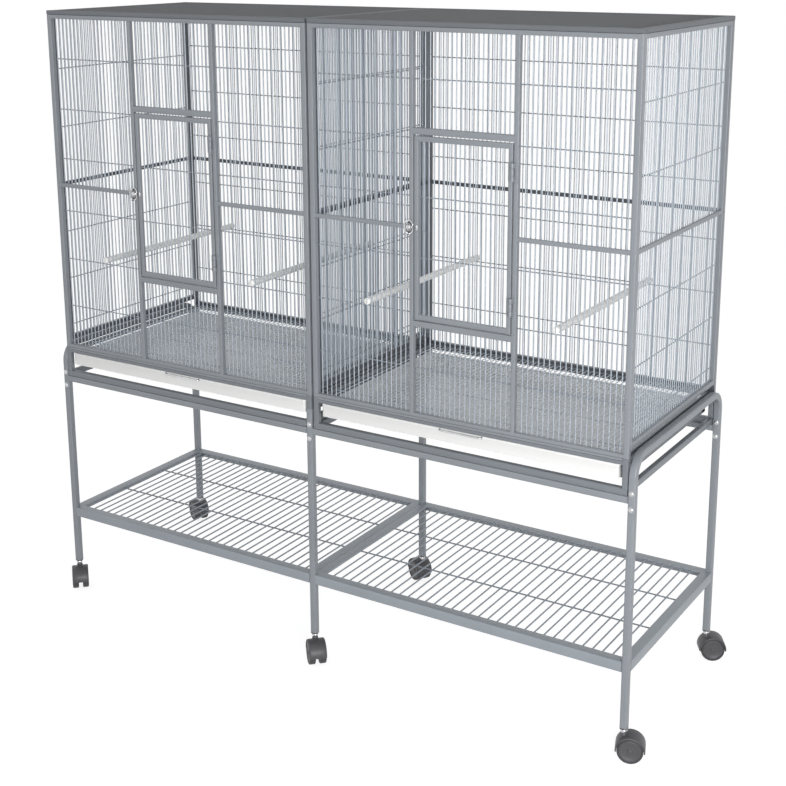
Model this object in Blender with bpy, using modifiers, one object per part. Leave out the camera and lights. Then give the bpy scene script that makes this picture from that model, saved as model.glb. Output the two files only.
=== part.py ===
"""Double bird cage: two wire flight cages side by side on one rolling stand.

Metres, +Z up. X runs along the front from left to right, Y from the front to the back,
and the origin is on the floor under the middle. Run: blender --background --python part.py
"""

import math

import bmesh
import bpy
from mathutils import Matrix, Vector

MM = 0.001

# Fits between pieces
CONTACT_GAP = 0.3 * MM  # pieces that rest on or butt against each other
PIN_GAP = 0.4 * MM  # round pins and axles in their bores, all round
SLIDE_GAP = 1.5 * MM  # beside and above the tray and the grate
DOOR_GAP = 3 * MM  # round the door
TUBE_BITE = 1 * MM  # how far one welded bar runs into the next

# The cages
CAGE_WIDTH = 794 * MM
CAGE_DEPTH = 533 * MM
CAGE_SPACING = 6 * MM
WALL_HEIGHT = 867 * MM
POST_WIDTH = 12.7 * MM
PANEL_TOP_RAIL = 10 * MM
PANEL_BOTTOM_RAIL = 8.5 * MM
SIDE_PANEL_STILE = 6 * MM
SIDE_BOTTOM_RAIL = 12.7 * MM
SIDE_RAIL_LIFT = 18 * MM  # gap left under the side walls, beside the grate
MID_RAIL_HEIGHT = 435 * MM  # from the foot of the walls to the middle of the mid rail
MID_RAIL_WIDTH = 10 * MM
MID_RAIL_DEPTH = 6 * MM
MID_RAIL_SETBACK = 0.5 * MM
ROOF_RAIL_HEIGHT = 10 * MM

# The wires
WIRE_PITCH = 12.7 * MM
WIRE_RADIUS = 1.3 * MM
WIRE_SIDES = 3
WIRE_LAYER_GAP = 0.3 * MM  # between the upright wires and those that cross them
WIRE_BITE = 3 * MM  # how far a wire's end runs into its rail
ROW_PITCH = 127 * MM
FIRST_ROW = 68 * MM  # from the mid rail to the first wire above or below it
SIDE_ROWS_ABOVE = 148 * MM
SIDE_ROWS_BELOW = 125 * MM
CROSS_PITCH = 127 * MM  # cross wires of the roof and the grate

# The doorway and its door
DOORWAY_WIDTH = 244 * MM
DOORWAY_HEIGHT = 415 * MM
DOORWAY_SILL = 224 * MM  # top of the sill above the foot of the wall
UPRIGHT_WIDTH = 10 * MM
SILL_HEIGHT = 14 * MM
HEADER_HEIGHT = 14 * MM
DOOR_STILE = 10 * MM
DOOR_RAIL = 12 * MM
DOOR_THICKNESS = 8 * MM

# Door hinges and latch
HINGE_LENGTH = 40 * MM
HINGE_LEAF = 11 * MM
HINGE_LEAF_THICKNESS = 1.5 * MM
HINGE_INSET = 60 * MM  # from the ends of the door to the middle of each hinge
KNUCKLE_RADIUS = 4 * MM
DOOR_KNUCKLE = 16 * MM
HINGE_PIN_RADIUS = 1.9 * MM
ROUND_SIDES = 12
LATCH_WIDTH = 26 * MM
LATCH_HEIGHT = 36 * MM
LATCH_THICKNESS = 3 * MM
LATCH_TONGUE = 8 * MM
LATCH_GAP = 0.5 * MM  # from the tongue to the door's edge, and from the turning latch to the keeper
LATCH_PIN_RADIUS = 2.5 * MM
LATCH_HEAD_RADIUS = 6 * MM
LATCH_HEAD_THICKNESS = 2 * MM
THUMB_BAR_WIDTH = 3 * MM
THUMB_BAR_LENGTH = 8 * MM
THUMB_BAR_HEIGHT = 7 * MM
KEEPER_HEIGHT = 12 * MM
KEEPER_THICKNESS = 3 * MM

# Floor grate, tray and the base they slide in
GRATE_THICKNESS = 5.5 * MM
GRATE_RIM = 6 * MM
GRATE_BACK_SETBACK = 5 * MM
TRAY_SIDE_ROOM = 21 * MM  # from the cage's sides to the tray
TRAY_BACK_ROOM = 31 * MM
TRAY_HEIGHT = 32 * MM
TRAY_WALL = 2 * MM
TRAY_FRONT_SETBACK = 2 * MM
PULL_WIDTH = 106 * MM
PULL_REACH = 6 * MM
PULL_RADIUS = 2 * MM
PULL_DROP = 3 * MM  # below the rim of the tray
LEDGE_HEIGHT = 8 * MM
LEDGE_WIDTH = 20 * MM
BASE_RAIL_WIDTH = 12.4 * MM
RUNNER_THICKNESS = 2 * MM
RUNNER_LIP = 12 * MM
RUNNER_HEIGHT = 22 * MM
RUNNER_SETBACK = 4 * MM
HANGER_LENGTH = 20 * MM
TRAY_DROP = 18 * MM  # from the base's bottom rails to the tray

# Perches
PERCH_RADIUS = 8 * MM
PERCH_ROW = 2  # the perches lie on this cross wire below the mid rail
LEFT_PERCH_OFFSET = 250 * MM  # from the middle of the cage
RIGHT_PERCH_OFFSET = 222 * MM
PERCH_NOTCH = 5 * MM

# The stand
LEG_WIDTH = 16 * MM
LEG_GAP = 2 * MM  # between the outer legs and the cages
CASTER_HEIGHT = 73 * MM
SHELF_TOP = 232 * MM
SHELF_SKIRT = 24 * MM
SHELF_SKIRT_THICKNESS = 2 * MM
SHELF_FLANGE = 24 * MM
SHELF_FLANGE_THICKNESS = 4 * MM
SHELF_PITCH = 23.6 * MM
SHELF_WIRE_RADIUS = 1.7 * MM
SHELF_CROSS_WIRES = 2
STAND_RAIL_TOP = 610 * MM
MIDDLE_LEG_RISE = 31 * MM  # above the base's bottom rails
HOOP_RISE = 16 * MM  # above the ledge that carries the grate
HOOP_DROP = 130 * MM
HOOP_BEND = 45 * MM
HOOP_BEND_STEPS = 6
BOLT_HEAD_RADIUS = 4.5 * MM
BOLT_HEAD_HEIGHT = 2.5 * MM
LOWER_BOLT = 11 * MM  # above the foot of the hoop

# Casters
WHEEL_RADIUS = 29 * MM
WHEEL_WIDTH = 16 * MM
WHEEL_SIDES = 16
AXLE_RADIUS = 3 * MM
CASTER_TRAIL = 15 * MM
WEB_THICKNESS = 9 * MM
WEB_CLEARANCE = 1 * MM
HOOD_GAP = 2 * MM
HOOD_THICKNESS = 2 * MM
HOOD_SPAN = 100  # degrees either side of straight up
HOOD_STEPS = 6
COLLAR_RADIUS = 8 * MM
COLLAR_HEIGHT = 8 * MM
STEM_RADIUS = 5 * MM
STEM_LENGTH = 25 * MM
STEM_SIDES = 10

FULL_TURN = 360  # degrees

# Where the casters of each leg trail, in degrees from +X, as the photograph shows them
CASTER_TURNS = {
    "front_left": -45,
    "front_middle": -45,
    "front_right": 20,
    "back_left": 150,
    "back_middle": 150,
    "back_right": 30,
}

# Heights, from the floor up
LEG_BOTTOM = CASTER_HEIGHT
BASE_BOTTOM = STAND_RAIL_TOP + CONTACT_GAP
BASE_RAIL_TOP = BASE_BOTTOM + LEG_WIDTH
TRAY_BOTTOM = BASE_RAIL_TOP + TRAY_DROP
LEDGE_BOTTOM = TRAY_BOTTOM + TRAY_HEIGHT + SLIDE_GAP
LEDGE_TOP = LEDGE_BOTTOM + LEDGE_HEIGHT
GRATE_BOTTOM = LEDGE_TOP + CONTACT_GAP
WALL_BOTTOM = GRATE_BOTTOM + GRATE_THICKNESS + CONTACT_GAP
WALL_TOP = WALL_BOTTOM + WALL_HEIGHT
ROOF_BOTTOM = WALL_TOP + CONTACT_GAP
SILL_TOP = WALL_BOTTOM + DOORWAY_SILL
HEADER_BOTTOM = SILL_TOP + DOORWAY_HEIGHT
MID_RAIL = WALL_BOTTOM + MID_RAIL_HEIGHT
HOOP_TOP = LEDGE_TOP + HOOP_RISE
HOOP_FOOT = HOOP_TOP - HOOP_DROP
OUTER_LEG_TOP = HOOP_FOOT - CONTACT_GAP
MIDDLE_LEG_TOP = BASE_RAIL_TOP + MIDDLE_LEG_RISE

# Places across and along
HALF_WIDTH = CAGE_WIDTH / 2
HALF_DEPTH = CAGE_DEPTH / 2
POST_FACE = HALF_WIDTH - POST_WIDTH
TRAY_WIDTH = CAGE_WIDTH - 2 * TRAY_SIDE_ROOM
TRAY_LENGTH = CAGE_DEPTH - TRAY_FRONT_SETBACK - TRAY_BACK_ROOM
CAGE_CENTRE = HALF_WIDTH + CAGE_SPACING / 2
LEG_ROW = HALF_DEPTH - LEG_WIDTH / 2
OUTER_LEG = CAGE_CENTRE + HALF_WIDTH + LEG_GAP + LEG_WIDTH / 2
MIDDLE_LEG = -(CAGE_SPACING / 2 + LEG_WIDTH / 2)
DOOR_HALF = DOORWAY_WIDTH / 2 - DOOR_GAP
HINGE_X = DOORWAY_WIDTH / 2 - DOOR_GAP / 2
HINGE_Y = -HALF_DEPTH - CONTACT_GAP - KNUCKLE_RADIUS
LATCH_X = -(DOORWAY_WIDTH / 2 + UPRIGHT_WIDTH)

POWDER_GREY = (0.26, 0.28, 0.30, 1)
TRAY_WHITE = (0.80, 0.80, 0.79, 1)
BRIGHT_ZINC = (0.62, 0.62, 0.63, 1)
PERCH_WHITE = (0.83, 0.81, 0.77, 1)
CASTER_GREY = (0.09, 0.09, 0.095, 1)

# A flat outline is drawn in X and Y, then stood in one of these planes
PLANES = {
    "flat": Matrix.Identity(4),
    "front": Matrix(((1, 0, 0, 0), (0, 0, -1, 0), (0, 1, 0, 0), (0, 0, 0, 1))),
    "side": Matrix(((0, 0, 1, 0), (1, 0, 0, 0), (0, 1, 0, 0), (0, 0, 0, 1))),
}


def clear_scene():
    for obj in list(bpy.data.objects):
        bpy.data.objects.remove(obj, do_unlink=True)


def new_collection(name):
    collection = bpy.data.collections.new(name)
    bpy.context.scene.collection.children.link(collection)
    return collection


clear_scene()
PARTS = new_collection("double_bird_cage")
HELPERS = new_collection("welded_and_cut_shapes")


def new_material(name, colour, roughness, metallic):
    material = bpy.data.materials.new(name)
    material.use_nodes = True
    shader = material.node_tree.nodes["Principled BSDF"]
    shader.inputs["Base Color"].default_value = colour
    shader.inputs["Roughness"].default_value = roughness
    shader.inputs["Metallic"].default_value = metallic
    return material


def on_plane(plane, u, v, w):
    """The point u along, v up and w deep on a named plane."""
    return {"flat": Vector((u, v, w)), "front": Vector((u, w, v)), "side": Vector((w, u, v))}[plane]


def place(obj, origin, parent):
    """Puts the object's origin at a point of its parent's frame, with its mesh where it was."""
    obj.data.transform(Matrix.Translation(-Vector(origin)))
    obj.location = origin
    obj.parent = parent


def finish(obj, colour, roughness=0.45, metallic=0.2, parent=None, origin=(0, 0, 0)):
    """Makes the object a visible piece with its own material."""
    obj.data.materials.clear()
    obj.data.materials.append(new_material(obj.name, colour, roughness, metallic))
    place(obj, origin, parent)
    return obj


def helper(name, mesh, parent=None):
    """A shape that is welded to a piece or cut from it."""
    obj = bpy.data.objects.new(name, mesh)
    HELPERS.objects.link(obj)
    obj.hide_render = True
    obj.display_type = "WIRE"
    obj.parent = parent
    return obj


def mesh_from(name, shape):
    mesh = bpy.data.meshes.new(name)
    shape.to_mesh(mesh)
    shape.free()
    return mesh


def piece(name, mesh):
    obj = bpy.data.objects.new(name, mesh)
    PARTS.objects.link(obj)
    return obj


def boolean(obj, other, operation, self_crossing=False):
    modifier = obj.modifiers.new(operation.lower() + "_" + other.name, "BOOLEAN")
    modifier.operation = operation
    modifier.object = other
    modifier.use_self = self_crossing
    return modifier


def weld(obj, shape, self_crossing=False, parent=None):
    """Joins the loose bodies of a bmesh to a piece."""
    name = obj.name + "_welded_" + str(len(obj.modifiers))
    boolean(obj, helper(name, mesh_from(name, shape), parent), "UNION", self_crossing)


def cut(obj, shape, self_crossing=False, parent=None):
    name = obj.name + "_cut_" + str(len(obj.modifiers))
    boolean(obj, helper(name, mesh_from(name, shape), parent), "DIFFERENCE", self_crossing)


def add_box(shape, low, high):
    low, high = Vector(low), Vector(high)
    size = high - low
    matrix = Matrix.Translation((low + high) / 2) @ Matrix.Diagonal((*size, 1))
    bmesh.ops.create_cube(shape, size=1, matrix=matrix)


def add_rod(shape, start, end, radius, sides):
    start, end = Vector(start), Vector(end)
    run = end - start
    turn = run.to_track_quat("Z", "X").to_matrix().to_4x4()
    bmesh.ops.create_cone(
        shape,
        cap_ends=True,
        segments=sides,
        radius1=radius,
        radius2=radius,
        depth=run.length,
        matrix=Matrix.Translation((start + end) / 2) @ turn,
    )


def outline_mesh(name, plane, loops, low, high):
    """The mesh of a flat outline with windows, from depth low to depth high."""
    curve = bpy.data.curves.new(name, "CURVE")
    curve.dimensions = "2D"
    curve.fill_mode = "BOTH"
    curve.extrude = (high - low) / 2
    for loop in loops:
        spline = curve.splines.new("POLY")
        spline.points.add(len(loop) - 1)
        for point, (u, v) in zip(spline.points, loop):
            point.co = (u, v, 0, 1)
        spline.use_cyclic_u = True
    drawn = bpy.data.objects.new(name, curve)
    drawn.matrix_world = Matrix.Translation(on_plane(plane, 0, 0, (low + high) / 2)) @ PLANES[plane]
    HELPERS.objects.link(drawn)
    bpy.context.view_layer.update()
    graph = bpy.context.evaluated_depsgraph_get()
    mesh = bpy.data.meshes.new_from_object(drawn.evaluated_get(graph))
    shape = bmesh.new()
    shape.from_mesh(mesh)
    bmesh.ops.remove_doubles(shape, verts=shape.verts, dist=CONTACT_GAP / 10)
    bmesh.ops.recalc_face_normals(shape, faces=shape.faces)
    shape.transform(drawn.matrix_world)
    shape.to_mesh(mesh)
    shape.free()
    bpy.data.objects.remove(drawn, do_unlink=True)
    return mesh


def rectangle(u0, v0, u1, v1):
    return [(u0, v0), (u1, v0), (u1, v1), (u0, v1)]


def arc(u, v, radius, start, end, steps, rise=None):
    """Points on an arc, with the angles in degrees; rise is the upright radius of an oval."""
    angles = [math.radians(start + (end - start) * step / steps) for step in range(steps + 1)]
    rise = rise or radius
    return [(u + radius * math.cos(angle), v + rise * math.sin(angle)) for angle in angles]


def grid_between(low, high, pitch):
    """Places at half pitches from the middle that stay half a pitch away from both ends."""
    first = math.ceil((low + pitch / 2) / pitch - 0.5)
    last = math.floor((high - pitch / 2) / pitch - 0.5)
    return [(index + 0.5) * pitch for index in range(first, last + 1)]


def add_columns(shape, plane, window, depth, pitch=WIRE_PITCH, radius=WIRE_RADIUS):
    """Close wires up the window, from rail to rail."""
    u0, v0, u1, v1 = window
    for u in grid_between(u0, u1, pitch):
        low = on_plane(plane, u, v0 - WIRE_BITE, depth)
        high = on_plane(plane, u, v1 + WIRE_BITE, depth)
        add_rod(shape, low, high, radius, WIRE_SIDES)


def add_rows(shape, plane, window, depth, rows, radius=WIRE_RADIUS):
    """Wires across the window at the given heights, where the window has room for them."""
    u0, v0, u1, v1 = window
    for v in rows:
        if v0 + WIRE_PITCH < v < v1 - WIRE_PITCH:
            left = on_plane(plane, u0 - WIRE_BITE, v, depth)
            right = on_plane(plane, u1 + WIRE_BITE, v, depth)
            add_rod(shape, left, right, radius, WIRE_SIDES)


def spaced_rows(middle, first, pitch, count):
    """Heights above and below a middle height."""
    steps = [first + pitch * index for index in range(count)]
    return [middle - step for step in reversed(steps)] + [middle + step for step in steps]


WALL_ROWS = spaced_rows(MID_RAIL, FIRST_ROW, ROW_PITCH, 4)
SIDE_ROWS = [MID_RAIL - SIDE_ROWS_BELOW * index for index in (3, 2, 1)]
SIDE_ROWS += [MID_RAIL + SIDE_ROWS_ABOVE * index for index in (1, 2)]


# Wall panels

# Depths of the two wire layers behind the mid rails, from the outer face of a panel
COLUMN_DEPTH = MID_RAIL_SETBACK + MID_RAIL_DEPTH + CONTACT_GAP + WIRE_RADIUS
ROW_DEPTH = COLUMN_DEPTH + 2 * WIRE_RADIUS + WIRE_LAYER_GAP


def add_mid_rail(shape, plane, window, outer, inward):
    """A bar across a window near the panel's outer face, with the wires behind it."""
    rear = MID_RAIL_SETBACK + MID_RAIL_DEPTH
    faces = sorted((outer + inward * MID_RAIL_SETBACK, outer + inward * rear))
    low = on_plane(plane, window[0] - TUBE_BITE, MID_RAIL - MID_RAIL_WIDTH / 2, faces[0])
    high = on_plane(plane, window[2] + TUBE_BITE, MID_RAIL + MID_RAIL_WIDTH / 2, faces[1])
    add_box(shape, low, high)


def front_panel(side, cage):
    jamb = DOORWAY_WIDTH / 2
    upright = jamb + UPRIGHT_WIDTH
    low = WALL_BOTTOM + PANEL_BOTTOM_RAIL
    high = WALL_TOP - PANEL_TOP_RAIL
    bays = [(-POST_FACE, low, -upright, high), (upright, low, POST_FACE, high)]
    below = (-jamb, low, jamb, SILL_TOP - SILL_HEIGHT)
    above = (-jamb, HEADER_BOTTOM + HEADER_HEIGHT, jamb, high)
    doorway = (-jamb, SILL_TOP, jamb, HEADER_BOTTOM)
    outline = rectangle(-HALF_WIDTH, WALL_BOTTOM, HALF_WIDTH, WALL_TOP)
    windows = [rectangle(*window) for window in (*bays, below, above, doorway)]
    name = side + "_front_panel"
    faces = (-HALF_DEPTH, -HALF_DEPTH + POST_WIDTH)
    panel = piece(name, outline_mesh(name, "front", [outline, *windows], *faces))
    columns = bmesh.new()
    rows = bmesh.new()
    for window in (*bays, below, above):
        add_columns(columns, "front", window, faces[0] + COLUMN_DEPTH)
        add_rows(rows, "front", window, faces[0] + ROW_DEPTH, WALL_ROWS)
    for window in bays:
        add_mid_rail(columns, "front", window, faces[0], 1)
    weld(panel, columns, parent=cage)
    weld(panel, rows, parent=cage)
    weld(panel, latch_pin_shape(), self_crossing=True, parent=cage)
    return finish(panel, POWDER_GREY, parent=cage)


def back_panel(side, cage):
    window = (-POST_FACE, WALL_BOTTOM + PANEL_BOTTOM_RAIL, POST_FACE, WALL_TOP - PANEL_TOP_RAIL)
    outline = rectangle(-HALF_WIDTH, WALL_BOTTOM, HALF_WIDTH, WALL_TOP)
    name = side + "_back_panel"
    faces = (HALF_DEPTH - POST_WIDTH, HALF_DEPTH)
    panel = piece(name, outline_mesh(name, "front", [outline, rectangle(*window)], *faces))
    wires = bmesh.new()
    add_columns(wires, "front", window, faces[1] - COLUMN_DEPTH)
    add_rows(wires, "front", window, faces[1] - ROW_DEPTH, WALL_ROWS)
    add_mid_rail(wires, "front", window, faces[1], -1)
    weld(panel, wires, parent=cage)
    return finish(panel, POWDER_GREY, parent=cage)


def side_panel(side, wall, cage):
    """A side wall between the front and back panels; wall is left or right."""
    outward = -1 if wall == "left" else 1
    reach = HALF_DEPTH - POST_WIDTH - CONTACT_GAP
    foot = WALL_BOTTOM + SIDE_RAIL_LIFT
    outline = rectangle(-reach, foot, reach, WALL_TOP)
    inner = reach - SIDE_PANEL_STILE
    window = (-inner, foot + SIDE_BOTTOM_RAIL, inner, WALL_TOP - PANEL_TOP_RAIL)
    name = f"{side}_{wall}_side_panel"
    outer = outward * HALF_WIDTH
    faces = sorted((outer, outer - outward * POST_WIDTH))
    panel = piece(name, outline_mesh(name, "side", [outline, rectangle(*window)], *faces))
    wires = bmesh.new()
    add_columns(wires, "side", window, outer - outward * COLUMN_DEPTH)
    add_rows(wires, "side", window, outer - outward * ROW_DEPTH, SIDE_ROWS)
    add_mid_rail(wires, "side", window, outer, -outward)
    weld(panel, wires, parent=cage)
    return finish(panel, POWDER_GREY, parent=cage)


def roof_panel(side, cage):
    outline = rectangle(-HALF_WIDTH, -HALF_DEPTH, HALF_WIDTH, HALF_DEPTH)
    window = (-POST_FACE, -HALF_DEPTH + POST_WIDTH, POST_FACE, HALF_DEPTH - POST_WIDTH)
    name = side + "_roof_panel"
    top = ROOF_BOTTOM + ROOF_RAIL_HEIGHT
    panel = piece(name, outline_mesh(name, "flat", [outline, rectangle(*window)], ROOF_BOTTOM, top))
    wires = bmesh.new()
    upper = top - TUBE_BITE - WIRE_RADIUS
    add_columns(wires, "flat", window, upper)
    crossing = grid_between(window[1], window[3], CROSS_PITCH)
    add_rows(wires, "flat", window, upper - 2 * WIRE_RADIUS - WIRE_LAYER_GAP, crossing)
    weld(panel, wires, parent=cage)
    return finish(panel, POWDER_GREY, parent=cage)


# Door, its hinges and its latch


def hinge_heights():
    """The middle heights of the upper and the lower hinge."""
    inset = DOOR_GAP + HINGE_INSET
    return {"upper": HEADER_BOTTOM - inset, "lower": SILL_TOP + inset}


def add_on_axis(shape, low, high, radius):
    """A rod along the hinges' axis."""
    add_rod(shape, (HINGE_X, HINGE_Y, low), (HINGE_X, HINGE_Y, high), radius, ROUND_SIDES)


def leaf_faces():
    """Front and back of the hinge leaves, which lie flat on the uprights and the door."""
    back = -HALF_DEPTH - CONTACT_GAP
    return back - HINGE_LEAF_THICKNESS, back


def door(side, cage):
    low, high = SILL_TOP + DOOR_GAP, HEADER_BOTTOM - DOOR_GAP
    outline = rectangle(-DOOR_HALF, low, DOOR_HALF, high)
    window = (-DOOR_HALF + DOOR_STILE, low + DOOR_RAIL, DOOR_HALF - DOOR_STILE, high - DOOR_RAIL)
    name = side + "_door"
    faces = (-HALF_DEPTH, -HALF_DEPTH + DOOR_THICKNESS)
    leaf = piece(name, outline_mesh(name, "front", [outline, rectangle(*window)], *faces))
    wires = bmesh.new()
    middle = (faces[0] + faces[1]) / 2
    layer = WIRE_RADIUS + WIRE_LAYER_GAP / 2
    add_columns(wires, "front", window, middle - layer)
    add_rows(wires, "front", window, middle + layer, WALL_ROWS)
    weld(leaf, wires, parent=cage)
    knuckles = bmesh.new()
    bores = bmesh.new()
    front, back = leaf_faces()
    for z in hinge_heights().values():
        half = DOOR_KNUCKLE / 2
        add_on_axis(knuckles, z - half, z + half, KNUCKLE_RADIUS)
        add_box(knuckles, (HINGE_X - KNUCKLE_RADIUS - TUBE_BITE, front, z - half), (HINGE_X, back, z + half))
        leaf_end = HINGE_X - KNUCKLE_RADIUS - CONTACT_GAP
        low_corner = (HINGE_X - HINGE_LEAF, front, z - HINGE_LENGTH / 2)
        add_box(knuckles, low_corner, (leaf_end, -HALF_DEPTH + TUBE_BITE, z + HINGE_LENGTH / 2))
        bore = HINGE_PIN_RADIUS + PIN_GAP
        add_on_axis(bores, z - HINGE_LENGTH, z + HINGE_LENGTH, bore)
    keeper_front = -HALF_DEPTH - KEEPER_THICKNESS
    keeper_back = -HALF_DEPTH + TUBE_BITE
    keeper = (LATCH_X + LATCH_HEIGHT / 2 + LATCH_GAP, keeper_front, MID_RAIL - KEEPER_HEIGHT / 2)
    keeper_end = -DOOR_HALF + DOOR_STILE - CONTACT_GAP
    add_box(knuckles, keeper, (keeper_end, keeper_back, MID_RAIL + KEEPER_HEIGHT / 2))
    weld(leaf, knuckles, self_crossing=True, parent=cage)
    cut(leaf, bores, parent=cage)
    return finish(leaf, POWDER_GREY, parent=cage, origin=(HINGE_X, HINGE_Y, (low + high) / 2))


def door_hinge(side, which, cage):
    """The upright's half of a hinge: a leaf, two knuckles and the pin through them."""
    z = hinge_heights()[which]
    front, back = leaf_faces()
    half = HINGE_LENGTH / 2
    name = f"{side}_door_hinge_{which}"
    shape = bmesh.new()
    leaf_end = HINGE_X + KNUCKLE_RADIUS + CONTACT_GAP
    add_box(shape, (leaf_end, front, z - half), (HINGE_X + HINGE_LEAF, back, z + half))
    hinge = piece(name, mesh_from(name, shape))
    knuckles = bmesh.new()
    inner = DOOR_KNUCKLE / 2 + PIN_GAP
    for low, high in ((z - half, z - inner), (z + inner, z + half)):
        add_on_axis(knuckles, low, high, KNUCKLE_RADIUS)
        add_box(knuckles, (HINGE_X, front, low), (leaf_end + TUBE_BITE, back, high))
    add_on_axis(knuckles, z - half + TUBE_BITE, z + half - TUBE_BITE, HINGE_PIN_RADIUS)
    weld(hinge, knuckles, self_crossing=True, parent=cage)
    return finish(hinge, POWDER_GREY, parent=cage, origin=(HINGE_X, HINGE_Y, z))


def latch_faces():
    """Front and back of the latch, which turns just in front of the upright and the door."""
    back = -HALF_DEPTH - PIN_GAP
    return back - LATCH_THICKNESS, back


def latch_pin_shape():
    """The pin that the latch turns on, with its head, on the door's left upright."""
    shape = bmesh.new()
    front = latch_faces()[0] - PIN_GAP
    tip = front - LATCH_HEAD_THICKNESS
    root = -HALF_DEPTH + WIRE_BITE
    start = (LATCH_X, tip + TUBE_BITE, MID_RAIL)
    add_rod(shape, start, (LATCH_X, root, MID_RAIL), LATCH_PIN_RADIUS, ROUND_SIDES)
    add_rod(shape, (LATCH_X, tip, MID_RAIL), (LATCH_X, front, MID_RAIL), LATCH_HEAD_RADIUS, ROUND_SIDES)
    return shape


def door_latch(side, cage):
    """An oval turn latch on the upright: its tongue stops just short of the door's edge."""
    half = LATCH_TONGUE / 2
    rise = LATCH_HEIGHT / 2
    spread = math.degrees(math.asin(half / rise))
    plate = arc(LATCH_X, MID_RAIL, LATCH_WIDTH / 2, spread, FULL_TURN - spread, ROUND_SIDES, rise)
    swing = -DOOR_HALF - LATCH_X - LATCH_GAP
    end = LATCH_X + math.sqrt(swing**2 - half**2)
    outline = [*plate, (end, MID_RAIL - half), (end, MID_RAIL + half)]
    bore_radius = LATCH_PIN_RADIUS + PIN_GAP
    bore = arc(LATCH_X, MID_RAIL, bore_radius, 0, FULL_TURN - FULL_TURN / ROUND_SIDES, ROUND_SIDES - 1)
    name = side + "_door_latch"
    front, back = latch_faces()
    latch = piece(name, outline_mesh(name, "front", [outline, bore], front, back))
    bars = bmesh.new()
    across = THUMB_BAR_WIDTH / 2
    for sign in (-1, 1):
        reach = sorted((sign * (rise - TUBE_BITE), sign * (rise - TUBE_BITE - THUMB_BAR_LENGTH)))
        low = (LATCH_X - across, front - THUMB_BAR_HEIGHT, MID_RAIL + reach[0])
        add_box(bars, low, (LATCH_X + across, front + TUBE_BITE, MID_RAIL + reach[1]))
    weld(latch, bars, parent=cage)
    return finish(latch, BRIGHT_ZINC, 0.3, 0.9, parent=cage, origin=(LATCH_X, back, MID_RAIL))


# Floor grate, tray and perches


def floor_grate(side, cage):
    half = POST_FACE - PIN_GAP
    front, back = -HALF_DEPTH, HALF_DEPTH - GRATE_BACK_SETBACK
    outline = rectangle(-half, front, half, back)
    window = (-half + GRATE_RIM, front + GRATE_RIM, half - GRATE_RIM, back - GRATE_RIM)
    name = side + "_floor_grate"
    top = GRATE_BOTTOM + GRATE_THICKNESS
    grate = piece(name, outline_mesh(name, "flat", [outline, rectangle(*window)], GRATE_BOTTOM, top))
    wires = bmesh.new()
    middle = (GRATE_BOTTOM + top) / 2
    layer = WIRE_RADIUS + WIRE_LAYER_GAP / 2
    add_columns(wires, "flat", window, middle + layer)
    add_rows(wires, "flat", window, middle - layer, grid_between(window[1], window[3], CROSS_PITCH))
    weld(grate, wires, parent=cage)
    return finish(grate, POWDER_GREY, parent=cage)


def tray(side, cage):
    """An open white tray with a bent wire pull on its front."""
    front = -HALF_DEPTH + TRAY_FRONT_SETBACK
    back = front + TRAY_LENGTH
    half = TRAY_WIDTH / 2
    top = TRAY_BOTTOM + TRAY_HEIGHT
    name = side + "_tray"
    shell = bmesh.new()
    add_box(shell, (-half, front, TRAY_BOTTOM), (half, back, top))
    lid = max(shell.faces, key=lambda face: face.calc_center_median().z)
    bmesh.ops.delete(shell, geom=[lid], context="FACES_ONLY")
    bmesh.ops.recalc_face_normals(shell, faces=shell.faces)
    obj = piece(name, mesh_from(name, shell))
    walls = obj.modifiers.new("walls", "SOLIDIFY")
    walls.thickness = TRAY_WALL
    walls.use_even_offset = True
    walls.offset = -1
    pull = bmesh.new()
    reach = front - PULL_REACH
    z = top - PULL_DROP
    end = PULL_WIDTH / 2
    outer = end + PULL_RADIUS
    add_rod(pull, (-outer, reach, z), (outer, reach, z), PULL_RADIUS, ROUND_SIDES // 2)
    for x in (-end, end):
        add_rod(pull, (x, reach, z), (x, front + TUBE_BITE, z), PULL_RADIUS * 0.95, ROUND_SIDES // 2)
    weld(obj, pull, self_crossing=True, parent=cage)
    return finish(obj, TRAY_WHITE, 0.35, 0, parent=cage)


def perch(side, which, offset, cage):
    """A dowel from the front wall to the back wall, slotted over one wire at each end."""
    wires = grid_between(-POST_FACE, POST_FACE, WIRE_PITCH)
    x = min(wires, key=lambda wire: abs(wire - offset))
    row = MID_RAIL - FIRST_ROW - ROW_PITCH * (PERCH_ROW - 1)
    z = row + WIRE_RADIUS + CONTACT_GAP + PERCH_RADIUS
    wire_plane = HALF_DEPTH - COLUMN_DEPTH
    end = wire_plane - WIRE_RADIUS - CONTACT_GAP + PERCH_NOTCH
    name = f"{side}_perch_{which}"
    shape = bmesh.new()
    add_rod(shape, (x, -end, z), (x, end, z), PERCH_RADIUS, ROUND_SIDES)
    rod = piece(name, mesh_from(name, shape))
    slots = bmesh.new()
    half = WIRE_RADIUS + CONTACT_GAP
    for sign in (-1, 1):
        depths = sorted((sign * (end - PERCH_NOTCH), sign * (end + PERCH_NOTCH)))
        beyond = 2 * PERCH_RADIUS
        add_box(slots, (x - half, depths[0], z - beyond), (x + half, depths[1], z + beyond))
    cut(rod, slots, parent=cage)
    return finish(rod, PERCH_WHITE, 0.6, 0, parent=cage)


# Base frame under each cage


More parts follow.
